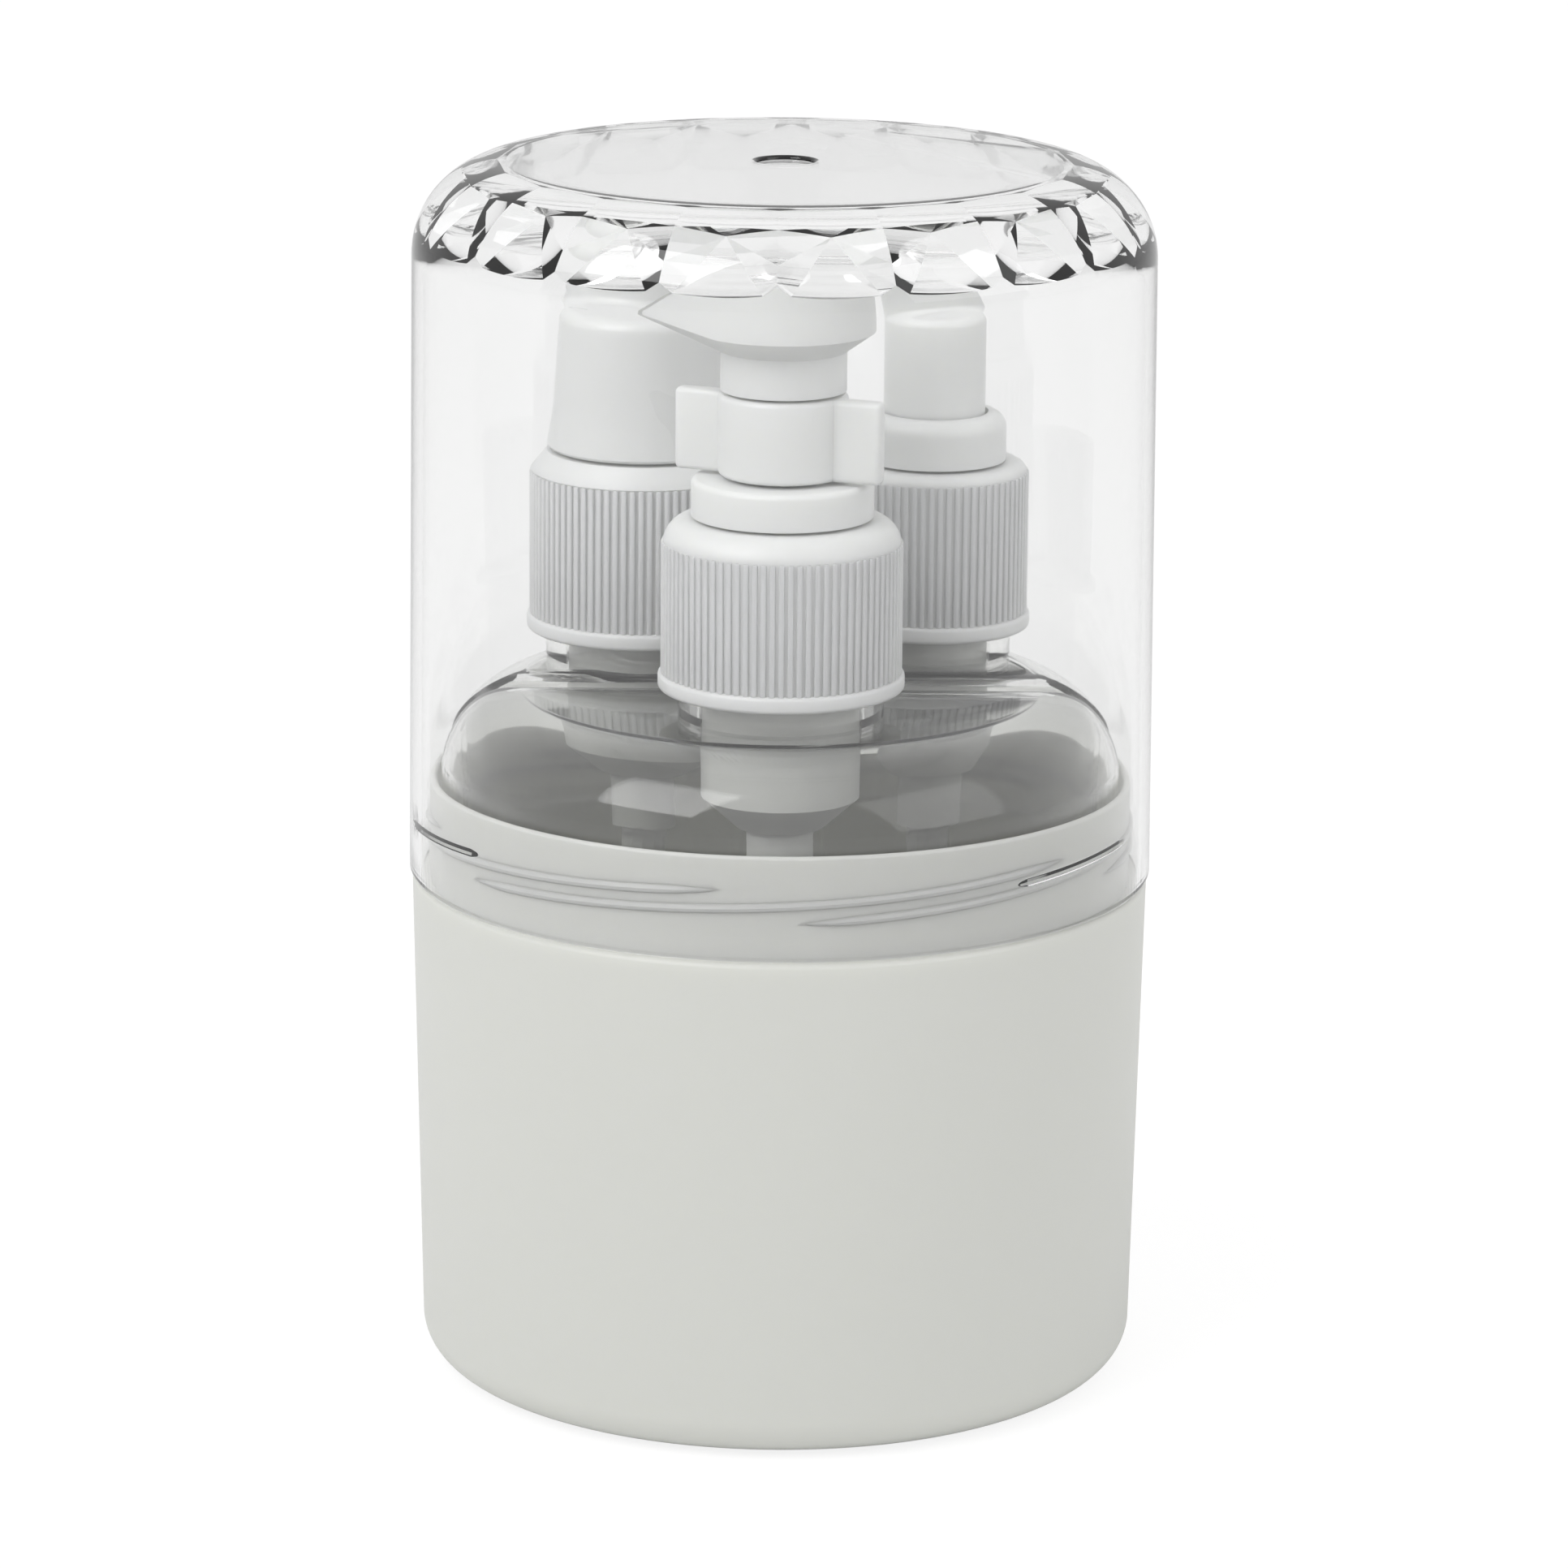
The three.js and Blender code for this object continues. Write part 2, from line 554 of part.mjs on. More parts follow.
// C-shaped clip round the stem, open towards the back, with two finger wings
function lockClip(group, base, top) {
  const bore = LOTION_STEM_RADIUS + RUN_GAP;
  const body = rod(CLIP_RADIUS, base, top);
  const wing = new THREE.BoxGeometry(2 * CLIP_WING_REACH, CLIP_WING_THICKNESS, top - base);
  wing.translate(0, -CLIP_WING_THICKNESS / 2, (base + top) / 2);
  const mouth = new THREE.BoxGeometry(2 * bore, CLIP_RADIUS + OVERLAP, top - base + 2 * OVERLAP);
  mouth.translate(0, (CLIP_RADIUS + OVERLAP) / 2, (base + top) / 2);
  const cut = rod(bore, base - OVERLAP, top + OVERLAP).add(solid(mouth));
  const clip = body.add(solid(wing)).subtract(cut).rotate([0, 0, CLIP_TURN]);
  place("lotion_lock_clip", clip, "pump", group);
}

function ringOf(radius, x, height) {
  return Array.from({ length: FINE_STEPS }, (_, i) => {
    const angle = (2 * Math.PI * i) / FINE_STEPS;
    return new THREE.Vector3(x + radius * Math.cos(angle), radius * Math.sin(angle), height);
  });
}

// Pump head: a flared cap on a round neck, with a spout that reaches to the left
function head(group) {
  const neckTop = headBase + HEAD_NECK_HEIGHT;
  const spoutCentre = SPOUT_RADIUS - SPOUT_REACH;
  const spoutBase = neckTop + SPOUT_RISE;
  const round = HEAD_TOP_ROUND;
  const flared = solid(new ConvexGeometry([
    ...ringOf(HEAD_NECK_RADIUS, 0, neckTop),
    ...ringOf(HEAD_RADIUS, 0, neckTop + HEAD_FLARE),
    ...ringOf(HEAD_RADIUS, 0, headTop - round),
    ...ringOf(HEAD_RADIUS - round, 0, headTop),
    ...ringOf(SPOUT_RADIUS, spoutCentre, spoutBase),
    ...ringOf(SPOUT_RADIUS, spoutCentre, headTop - round),
    ...ringOf(SPOUT_RADIUS - round, spoutCentre, headTop),
  ]));
  const socketRadius = LOTION_STEM_RADIUS + SEAT_GAP;
  const socketEnd = neckTop + HEAD_FLARE;
  const spoutHeight = (spoutBase + headTop) / 2;
  const socket = rod(socketRadius, headBase - OVERLAP, socketEnd);
  const well = rod(SPOUT_BORE, socketEnd - OVERLAP, spoutHeight, FINE_STEPS);
  const channel = new THREE.CylinderGeometry(SPOUT_BORE, SPOUT_BORE, SPOUT_REACH + OVERLAP, FINE_STEPS);
  channel.rotateZ(Math.PI / 2).translate(-(SPOUT_REACH + OVERLAP) / 2, 0, spoutHeight);
  const neck = rod(HEAD_NECK_RADIUS, headBase, neckTop + OVERLAP);
  const body = flared.add(neck).subtract(socket).subtract(well).subtract(solid(channel));
  place("lotion_head", body.rotate([0, 0, CLIP_TURN]), "pump", group);
  return socketEnd;
}

// A group on the axis of one bottle's neck
function pumpGroup(neck) {
  const group = new THREE.Group();
  group.position.set(neck.x, neck.y, 0);
  kit.add(group);
  return group;
}

function lotionPump() {
  const group = pumpGroup(LOTION_NECK);
  const chapletBase = collarTop + SEAT_GAP;
  const shoulder = roundShoulder(wideFit, LOTION_SHOULDER_ROUND);
  collar("lotion_collar", group, wideFit, wideFit.spigotRadius + SEAT_GAP, shoulder, collarTop);
  pumpInside("lotion", group, wideFit, LOTION_STEM_RADIUS);
  chaplet(group, chapletBase, chapletBase + CHAPLET_HEIGHT);
  lockClip(group, clipBase, clipBase + CLIP_HEIGHT);
  const socketEnd = head(group);
  stem("lotion_stem", group, LOTION_STEM_RADIUS, socketEnd - SEAT_GAP);
}

// Turret that closes a spray pump's barrel and guides its stem
function turret(name, group, fit, radius) {
  const body = turned([
    [SPRAY_STEM_RADIUS + RUN_GAP, spigotBase],
    [fit.spigotRadius, spigotBase],
    [fit.spigotRadius, flangeTop],
    [radius, flangeTop],
    [radius, flangeTop + TURRET_HEIGHT],
    [SPRAY_STEM_RADIUS + RUN_GAP, flangeTop + TURRET_HEIGHT],
  ]);
  place(name, body, "pump", group);
}

// Button with a skirt round the turret, a socket for the stem and a nozzle in its side
function button(prefix, group, radius, height, turn) {
  const base = flangeTop + SEAT_GAP + SPRAY_STROKE;
  const top = base + height;
  const skirtBore = radius - BUTTON_SKIRT_WALL;
  const skirtTop = flangeTop + TURRET_HEIGHT + SEAT_GAP + SPRAY_STROKE;
  const socketRadius = SPRAY_STEM_RADIUS + SEAT_GAP;
  const socketEnd = top - NOZZLE_DROP + NOZZLE_RADIUS;
  const nozzleHeight = top - NOZZLE_DROP;
  const body = turned([
    [skirtBore, base],
    [radius, base],
    ...arc(radius - BUTTON_ROUND, top - BUTTON_ROUND, BUTTON_ROUND, 0, 90, EDGE_STEPS),
    [0, top],
    [0, socketEnd],
    [socketRadius, socketEnd],
    [socketRadius, skirtTop],
    [skirtBore, skirtTop],
  ]);
  const hole = rod(NOZZLE_RADIUS + SEAT_GAP, 0, NOZZLE_DEPTH + OVERLAP, FINE_STEPS);
  const insert = tube(NOZZLE_RADIUS, NOZZLE_BORE, SEAT_GAP, NOZZLE_DEPTH, FINE_STEPS);
  const [seat, nozzle] = [hole, insert].map((piece) =>
    piece.rotate([90, 0, 0]).translate(0, NOZZLE_DEPTH - radius, nozzleHeight).rotate([0, 0, turn]));
  place(prefix + "_button", body.subtract(seat), "pump", group);
  place(prefix + "_nozzle", nozzle, "pump", group);
  stem(prefix + "_stem", group, SPRAY_STEM_RADIUS, socketEnd - SEAT_GAP);
}

// Push-on cap over the mist pump's button, a little narrower towards its top
function overcap(group, base) {
  const top = base + OVERCAP_HEIGHT;
  const radius = overcapBore + OVERCAP_WALL;
  const crown = radius - OVERCAP_DRAFT;
  const body = turned([
    [overcapBore, base],
    [overcapBore + OVERCAP_RIM_WALL, base],
    [radius, base + OVERCAP_RIM_HEIGHT],
    ...arc(crown - OVERCAP_ROUND, top - OVERCAP_ROUND, OVERCAP_ROUND, 0, 90, ROUND_STEPS),
    [0, top],
    [0, top - OVERCAP_WALL],
    [crown - OVERCAP_WALL, top - OVERCAP_WALL],
    [overcapBore, base + OVERCAP_RIM_HEIGHT],
  ]);
  place("mist_overcap", body, "pump", group);
}

function mistPump() {
  const group = pumpGroup(MIST_NECK);
  const shoulderTop = collarTop + MIST_COLLAR_RISE;
  const neckTop = shoulderTop + MIST_NECK_HEIGHT;
  const shoulder = [
    [wideFit.collarRadius, shoulderTop - MIST_SHOULDER_HEIGHT],
    [wideFit.collarRadius - MIST_SHOULDER_WIDTH, shoulderTop],
  ];
  const raised = [[mistNeckRadius, shoulderTop], [mistNeckRadius, neckTop]];
  collar("mist_collar", group, wideFit, mistButtonRadius + RUN_GAP, shoulder, neckTop, raised);
  pumpInside("mist", group, wideFit, SPRAY_STEM_RADIUS);
  turret("mist_turret", group, wideFit, MIST_TURRET_RADIUS);
  button("mist", group, mistButtonRadius, MIST_BUTTON_HEIGHT, MIST_BUTTON_TURN);
  overcap(group, shoulderTop + SEAT_GAP);
}

function serumPump() {
  const group = pumpGroup(SERUM_NECK);
  const hole = serumButtonRadius + RUN_GAP;
  const shroudBase = collarTop + SEAT_GAP;
  const shroudTop = shroudBase + SHROUD_HEIGHT;
  const radius = hole + SHROUD_WALL;
  collar("serum_collar", group, slimFit, hole, roundShoulder(slimFit, SERUM_SHOULDER_ROUND), collarTop);
  pumpInside("serum", group, slimFit, SPRAY_STEM_RADIUS);
  turret("serum_turret", group, slimFit, SERUM_TURRET_RADIUS);
  button("serum", group, serumButtonRadius, SERUM_BUTTON_HEIGHT, SERUM_BUTTON_TURN);
  place("serum_shroud", turned([
    [hole, shroudBase],
    [radius, shroudBase],
    ...arc(radius - SHROUD_ROUND, shroudTop - SHROUD_ROUND, SHROUD_ROUND, 0, 90, ROUND_STEPS),
    [hole, shroudTop],
  ]), "pump", group);
}

cup();
lid();
bottle("lotion_bottle", -180, 0, LOTION_NECK, wideFit);
bottle("mist_bottle", 90, 180, MIST_NECK, wideFit);
bottle("serum_bottle", 0, 90, SERUM_NECK, slimFit);
lotionPump();
mistPump();
serumPump();

export default kit;
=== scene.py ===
"""Travel kit: three clear pump bottles in a round cup under a clear screw lid. Lengths are in metres."""
import json
import math

import bpy
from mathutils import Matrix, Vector


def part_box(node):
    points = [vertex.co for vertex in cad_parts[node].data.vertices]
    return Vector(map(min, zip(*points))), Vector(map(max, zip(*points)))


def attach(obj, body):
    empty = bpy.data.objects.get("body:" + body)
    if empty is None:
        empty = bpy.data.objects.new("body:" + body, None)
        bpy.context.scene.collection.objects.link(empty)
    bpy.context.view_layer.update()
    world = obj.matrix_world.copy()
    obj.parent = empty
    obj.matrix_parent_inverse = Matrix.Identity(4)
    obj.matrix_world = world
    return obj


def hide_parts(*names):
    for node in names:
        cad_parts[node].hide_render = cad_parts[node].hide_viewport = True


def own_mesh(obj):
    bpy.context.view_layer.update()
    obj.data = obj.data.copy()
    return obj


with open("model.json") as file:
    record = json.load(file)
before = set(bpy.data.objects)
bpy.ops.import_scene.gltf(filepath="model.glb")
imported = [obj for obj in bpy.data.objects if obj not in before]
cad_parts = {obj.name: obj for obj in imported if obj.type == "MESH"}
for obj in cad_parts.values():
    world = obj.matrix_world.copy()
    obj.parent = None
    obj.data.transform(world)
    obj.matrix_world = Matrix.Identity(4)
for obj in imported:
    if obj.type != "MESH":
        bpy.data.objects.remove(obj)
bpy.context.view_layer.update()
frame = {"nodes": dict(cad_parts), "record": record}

MM = 0.001

# Camera and picture
PICTURE_WIDTH = 1932
FOCAL_PIXELS = 8077
SENSOR_WIDTH = 36
CAMERA_DISTANCE = 0.665
CAMERA_PITCH = math.radians(14.15)
CAMERA_ROLL = math.radians(0.49)
AIM_HEIGHT = 0.062
PICTURE_OFFSET = (4.5, -29)

# Smoothness: steps per turn, and steps on the lid's crown from side to top
LARGE_STEPS = 256
SMALL_STEPS = 96
CROWN_STEPS = 40

# What the shapes' tools take for the same place, and how far cutters reach past what they cut
SAME_PLACE = 1e-6
PAST = 1 * MM


# Modelling steps that the pieces share

def deselect():
    bpy.ops.object.select_all(action="DESELECT")


def begin(location):
    """A mesh of one vertex at a place, in edit mode, that outlines are drawn from."""
    deselect()
    bpy.ops.mesh.primitive_plane_add(size=MM, location=location)
    bpy.ops.object.transform_apply(location=True, rotation=True, scale=True)
    bpy.ops.object.mode_set(mode="EDIT")
    bpy.ops.mesh.select_mode(type="VERT")
    bpy.ops.mesh.select_all(action="SELECT")
    bpy.ops.mesh.merge(type="CENTER")


def draw_on(places):
    """Extrudes the selected vertex from place to place."""
    for here, there in zip(places, places[1:]):
        step = Vector(there) - Vector(here)
        bpy.ops.mesh.extrude_region_move(TRANSFORM_OT_translate={"value": step})


def end(name, smooth=35):
    """Cleans the mesh being edited, names its object and smooths edges below an angle."""
    bpy.ops.mesh.select_all(action="SELECT")
    bpy.ops.mesh.remove_doubles(threshold=SAME_PLACE)
    bpy.ops.mesh.normals_make_consistent(inside=False)
    bpy.ops.object.mode_set(mode="OBJECT")
    piece = bpy.context.object
    piece.name = name
    bpy.ops.object.shade_smooth_by_angle(angle=math.radians(smooth))
    return piece


def arc(radius, height, curve, start, stop, steps):
    """Points on an arc in a profile, with angles in degrees from the radial direction."""
    angles = [math.radians(start + (stop - start) * i / steps) for i in range(steps + 1)]
    return [(radius + curve * math.cos(a), height + curve * math.sin(a)) for a in angles]


def turned(name, profile, centre=(0, 0), steps=SMALL_STEPS, smooth=35):
    """A closed solid spun about an upright axis from (radius, height) points."""
    places = [(centre[0] + r, centre[1], z) for r, z in profile + profile[:1]]
    begin(places[0])
    draw_on(places)
    bpy.ops.mesh.select_all(action="SELECT")
    bpy.ops.mesh.spin(steps=steps, angle=2 * math.pi, center=(*centre, 0), axis=(0, 0, 1))
    return end(name, smooth)


def hull(name, rings, smooth=35):
    """The tight skin round level circles, each given as (x, y, height, radius)."""
    begin((rings[0][0], rings[0][1], rings[0][2]))
    for x, y, height, radius in rings:
        bpy.ops.mesh.primitive_circle_add(vertices=SMALL_STEPS, radius=radius, location=(x, y, height))
    bpy.ops.mesh.select_all(action="SELECT")
    bpy.ops.mesh.convex_hull()
    return end(name, smooth)


def apply_boolean(piece, tool, operation):
    modifier = piece.modifiers.new(operation, "BOOLEAN")
    modifier.operation = operation
    modifier.object = tool
    modifier.solver = "EXACT"
    bpy.context.view_layer.objects.active = piece
    bpy.ops.object.modifier_apply(modifier=modifier.name)
    bpy.data.objects.remove(tool, do_unlink=True)
    return piece


def join(pieces):
    deselect()
    for piece in pieces:
        piece.select_set(True)
    bpy.context.view_layer.objects.active = pieces[0]
    bpy.ops.object.join()
    return pieces[0]


def smooth_again(piece, angle):
    deselect()
    piece.select_set(True)
    bpy.context.view_layer.objects.active = piece
    bpy.ops.object.shade_smooth_by_angle(angle=math.radians(angle))
    return piece


THINNEST_SHARE = 0.02


def helix_rod(name, centre, radius, base, rise, start, sweep, thickness, taper, steps):
    """A round rod along a helix. Taper is the share of its length over which each end thins."""
    deselect()
    bpy.ops.curve.primitive_nurbs_path_add(location=(0, 0, 0))
    rod = bpy.context.object
    rod.name = name
    rod.data.splines.clear()
    spline = rod.data.splines.new("POLY")
    spline.points.add(steps)
    for i, point in enumerate(spline.points):
        share = i / steps
        angle = math.radians(start + sweep * share)
        x = centre[0] + radius * math.cos(angle)
        y = centre[1] + radius * math.sin(angle)
        point.co = (x, y, base + rise * share, 1)
        nearness = min(share, 1 - share) / taper if taper else 1
        point.radius = math.sqrt(min(1, max(THINNEST_SHARE, nearness)))
    rod.data.bevel_depth = thickness
    rod.data.bevel_resolution = 3
    rod.data.use_fill_caps = True
    bpy.ops.object.convert(target="MESH")
    bpy.ops.object.mode_set(mode="EDIT")
    return end(name)


# Materials

def linear(red, green, blue):
    """A colour seen as 0 to 255 in the picture, as the renderer's values by the usual sRGB curve."""
    def one(value):
        value /= 255
        return value / 12.92 if value <= 0.04045 else ((value + 0.055) / 1.055) ** 2.4
    return (one(red), one(green), one(blue), 1)


CLOUD_SCALE = 90
BUMP_DISTANCE = 0.1 * MM
LIGHT_DEPTH = (3 * MM, 3 * MM, 2.6 * MM)
PLASTIC_VARIATION = 0.12
CLEAR_VARIATION = 0.02
CLEAR_GRAIN = 60


def moulded_group():
    """Node group: soft unevenness of a moulded surface, as a roughness and a normal."""
    group = bpy.data.node_groups.new("Moulded surface", "ShaderNodeTree")
    for name in ("Roughness", "Variation", "Grain", "Height"):
        group.interface.new_socket(name, in_out="INPUT", socket_type="NodeSocketFloat")
    group.interface.new_socket("Roughness", in_out="OUTPUT", socket_type="NodeSocketFloat")
    group.interface.new_socket("Normal", in_out="OUTPUT", socket_type="NodeSocketVector")
    nodes, links = group.nodes, group.links
    inside = nodes.new("NodeGroupInput")
    outside = nodes.new("NodeGroupOutput")
    place = nodes.new("ShaderNodeTexCoord")
    cloud = nodes.new("ShaderNodeTexNoise")
    cloud.inputs["Scale"].default_value = CLOUD_SCALE
    cloud.inputs["Detail"].default_value = 2
    spread = nodes.new("ShaderNodeMath")
    spread.operation = "SUBTRACT"
    spread.inputs[1].default_value = 0.5
    amount = nodes.new("ShaderNodeMath")
    amount.operation = "MULTIPLY_ADD"
    grain = nodes.new("ShaderNodeTexNoise")
    bump = nodes.new("ShaderNodeBump")
    bump.inputs["Distance"].default_value = BUMP_DISTANCE
    links.new(place.outputs["Object"], cloud.inputs["Vector"])
    links.new(place.outputs["Object"], grain.inputs["Vector"])
    links.new(cloud.outputs["Fac"], spread.inputs[0])
    links.new(spread.outputs[0], amount.inputs[0])
    links.new(inside.outputs["Variation"], amount.inputs[1])
    links.new(inside.outputs["Roughness"], amount.inputs[2])
    links.new(inside.outputs["Grain"], grain.inputs["Scale"])
    links.new(grain.outputs["Fac"], bump.inputs["Height"])
    links.new(inside.outputs["Height"], bump.inputs["Strength"])
    links.new(amount.outputs[0], outside.inputs["Roughness"])
    links.new(bump.outputs["Normal"], outside.inputs["Normal"])
    return group


MOULDED = moulded_group()


def add_surface(material, roughness, variation, grain, height):
    """Gives a material the unevenness of a moulded surface."""
    nodes, links = material.node_tree.nodes, material.node_tree.links
    shader = nodes["Principled BSDF"]
    surface = nodes.new("ShaderNodeGroup")
    surface.node_tree = MOULDED
    surface.inputs["Roughness"].default_value = roughness
    surface.inputs["Variation"].default_value = variation
    surface.inputs["Grain"].default_value = grain
    surface.inputs["Height"].default_value = height
    links.new(surface.outputs["Roughness"], shader.inputs["Roughness"])
    links.new(surface.outputs["Normal"], shader.inputs["Normal"])


def plastic(name, colour, roughness, grain=2500, height=0.05, depth=0.0, metallic=0.0):
    """An opaque moulded finish, with some light let into it by depth."""
    material = bpy.data.materials.new(name)
    material.use_nodes = True
    shader = material.node_tree.nodes["Principled BSDF"]
    shader.inputs["Base Color"].default_value = colour
    shader.inputs["Metallic"].default_value = metallic
    shader.inputs["Subsurface Weight"].default_value = depth
    shader.inputs["Subsurface Radius"].default_value = LIGHT_DEPTH
    shader.inputs["Subsurface Scale"].default_value = 1
    add_surface(material, roughness, PLASTIC_VARIATION, grain, height)
    return material


def clear(name, colour, ior, roughness=0.02, height=0.02):
    """A clear moulded wall. Rays from lamps pass straight through it to what is behind."""
    material = bpy.data.materials.new(name)
    material.use_nodes = True
    nodes, links = material.node_tree.nodes, material.node_tree.links
    shader = nodes["Principled BSDF"]
    shader.inputs["Base Color"].default_value = colour
    shader.inputs["IOR"].default_value = ior
    shader.inputs["Transmission Weight"].default_value = 1
    add_surface(material, roughness, CLEAR_VARIATION, CLEAR_GRAIN, height)
    passing = nodes.new("ShaderNodeBsdfTransparent")
    passing.inputs["Color"].default_value = colour
    path = nodes.new("ShaderNodeLightPath")
    mix = nodes.new("ShaderNodeMixShader")
    links.new(path.outputs["Is Shadow Ray"], mix.inputs[0])
    links.new(shader.outputs[0], mix.inputs[1])
    links.new(passing.outputs[0], mix.inputs[2])
    links.new(mix.outputs[0], nodes["Material Output"].inputs["Surface"])
    return material


CUP_PLASTIC = plastic("Cup plastic", linear(204, 205, 200), 0.4, depth=0.5)
WHITE_PLASTIC = plastic("White pump plastic", linear(224, 225, 224), 0.36, depth=0.4)
CAP_PLASTIC = plastic("Cap plastic", linear(221, 222, 221), 0.3, depth=0.3)
SEAL_PLASTIC = plastic("Seal plastic", linear(228, 228, 222), 0.6)
TUBE_PLASTIC = plastic("Tube plastic", linear(222, 223, 221), 0.35, depth=0.2)
STEEL = plastic("Spring steel", linear(200, 201, 203), 0.25, height=0.02, metallic=1.0)
CLEAR_LID = clear("Clear lid plastic", (0.93, 0.931, 0.93, 1), 1.57)
CLEAR_BOTTLE = clear("Clear bottle plastic", (0.9, 0.903, 0.89, 1), 1.5)


def finish_piece(piece, material, slot, body, *nodes):
    """Gives a finished piece its material and its body, and hides the solids that it stands for."""
    piece.data.materials.clear()
    piece.data.materials.append(material)
    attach(piece, body)
    if nodes:
        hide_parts(*nodes)
    return piece


def centre_of(node):
    low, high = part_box(node)
    return ((low.x + high.x) / 2, (low.y + high.y) / 2)


# Cup

CUP_FOOT_RADIUS = 36.4 * MM
CUP_SHOULDER_HEIGHT = 51 * MM
CUP_FOOT_ROUND = 4.2 * MM
CUP_WALL = 1.5 * MM
CUP_FLOOR = 2.2 * MM
CUP_NECK_RADIUS = 35.5 * MM
CUP_NECK_WALL = 0.75 * MM
CUP_SHOULDER_ROUND = 0.5 * MM
THREAD_STARTS = 6
THREAD_ARC = 108
THREAD_RISE = 3.3 * MM
THREAD_BASE = 3.7 * MM
THREAD_FIRST_ANGLE = -147
THREAD_SECTION = 0.5 * MM
THREAD_STAND = 0.35 * MM
THREAD_TAPER = 0.08
THREAD_STEPS = 54


def make_cup():
    low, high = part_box("cup")
    shoulder_radius = (high.x - low.x) / 2
    top = high.z
    rim = CUP_NECK_WALL / 2
    bore = CUP_NECK_RADIUS - CUP_NECK_WALL
    inside_foot = CUP_FOOT_RADIUS - CUP_WALL
    inside_round = CUP_FOOT_ROUND - CUP_WALL
    small = CUP_SHOULDER_ROUND
    profile = [(0, 0)]
    profile += arc(CUP_FOOT_RADIUS - CUP_FOOT_ROUND, CUP_FOOT_ROUND, CUP_FOOT_ROUND, -90, 0, 16)
    profile += arc(shoulder_radius - small, CUP_SHOULDER_HEIGHT - small, small, 0, 90, 5)
    profile += [(CUP_NECK_RADIUS, CUP_SHOULDER_HEIGHT)]
    profile += arc(CUP_NECK_RADIUS - rim, top - rim, rim, 0, 180, 12)
    profile += [(bore, CUP_SHOULDER_HEIGHT + CUP_WALL)]
    profile += [(shoulder_radius - CUP_WALL, CUP_SHOULDER_HEIGHT - CUP_WALL)]
    profile += arc(inside_foot - inside_round, CUP_FLOOR + inside_round, inside_round, 0, -90, 6)
    profile += [(0, CUP_FLOOR)]
    cup = turned("cup_body", profile, steps=LARGE_STEPS)
    ridges = []
    for i in range(THREAD_STARTS):
        start = THREAD_FIRST_ANGLE + 360 * i / THREAD_STARTS
        ridges.append(helix_rod("cup_thread", (0, 0), CUP_NECK_RADIUS + THREAD_STAND - THREAD_SECTION,
                                CUP_SHOULDER_HEIGHT + THREAD_BASE, THREAD_RISE, start, THREAD_ARC,
                                THREAD_SECTION, THREAD_TAPER, THREAD_STEPS))
    join([cup, *ridges])
    finish_piece(cup, CUP_PLASTIC, "cup_plastic", "case", "cup")


# Lid

LID_CROWN_RADIUS = 37.1 * MM
LID_WALL = 1.1 * MM
LID_CROWN_ROUND = 9.4 * MM
LID_MOUTH_ROUND = 0.35 * MM
GATE_RADIUS = 3.3 * MM
GATE_DEPTH = 0.4 * MM
LUG_COUNT = 3
LUG_ARC = 30
LUG_FIRST_ANGLE = -172
LUG_BASE = 5.6 * MM
LUG_SECTION = 0.5 * MM
LUG_STAND = 0.3 * MM
LUG_TAPER = 0.1
LUG_STEPS = 20
LUG_BAND = (2 * MM, 3 * MM)

# Facets inside the crown, by their angle up its round, and the point that each cell dips to
FACET_COUNT = 20
FACET_TURN = math.radians(-1.1)
FACET_TOP_ANGLE = math.radians(84)
FACET_SIDE_ANGLE = math.radians(61)
FACET_LOW_ANGLE = math.radians(34)
FACET_FALL = 1.2
FACET_MARGIN = 2 * MM
STUD_RADIUS = 31 * MM
STUD_RISE = 6 * MM
STUD_REACH = 1 * MM


def facet_ring(radius, height, half_steps=0, count=FACET_COUNT):
    """A level ring of corners in the mesh being edited."""
    turn = FACET_TURN + math.pi / FACET_COUNT * half_steps - math.pi / 2
    bpy.ops.mesh.primitive_circle_add(vertices=count, radius=radius, location=(0, 0, height),
                                      rotation=(0, 0, turn - math.pi / 2))


def faceted_core(crown, middle_height, curve, bottom):
    """The room inside the lid, with facets round its crown that dip to a point in each cell."""
    begin((0, 0, bottom))
    facet_ring(crown, middle_height + curve, count=6 * FACET_COUNT)
    for angle in (FACET_TOP_ANGLE, FACET_SIDE_ANGLE, FACET_LOW_ANGLE):
        facet_ring(crown + curve * math.cos(angle), middle_height + curve * math.sin(angle))
    middle_angle = (FACET_SIDE_ANGLE + FACET_LOW_ANGLE) / 2
    stud = crown + curve * math.cos(middle_angle)
    height = middle_height + curve * math.sin(middle_angle)
    facet_ring(stud, height, half_steps=1)
    wide = crown + curve + FACET_MARGIN
    low_radius = crown + curve * math.cos(FACET_LOW_ANGLE)
    low_height = middle_height + curve * math.sin(FACET_LOW_ANGLE)
    facet_ring(wide, low_height - FACET_FALL * (wide - low_radius))
    facet_ring(wide, bottom)
    bpy.ops.mesh.select_all(action="SELECT")
    bpy.ops.mesh.convex_hull(join_triangles=False)
    bpy.ops.mesh.select_mode(type="VERT")
    bpy.ops.mesh.select_all(action="DESELECT")
    bpy.ops.object.mode_set(mode="OBJECT")
    core = bpy.context.object
    for vertex in core.data.vertices:
        level = abs(vertex.co.z - height) < 10 * SAME_PLACE
        vertex.select = level and vertex.co.xy.length < stud + STUD_REACH
    bpy.ops.object.mode_set(mode="EDIT")
    shrink = STUD_RADIUS / stud
    bpy.ops.transform.resize(value=(shrink, shrink, 1), center_override=(0, 0, 0))
    bpy.ops.transform.translate(value=(0, 0, middle_height + STUD_RISE - height))
    return end("lid_core")


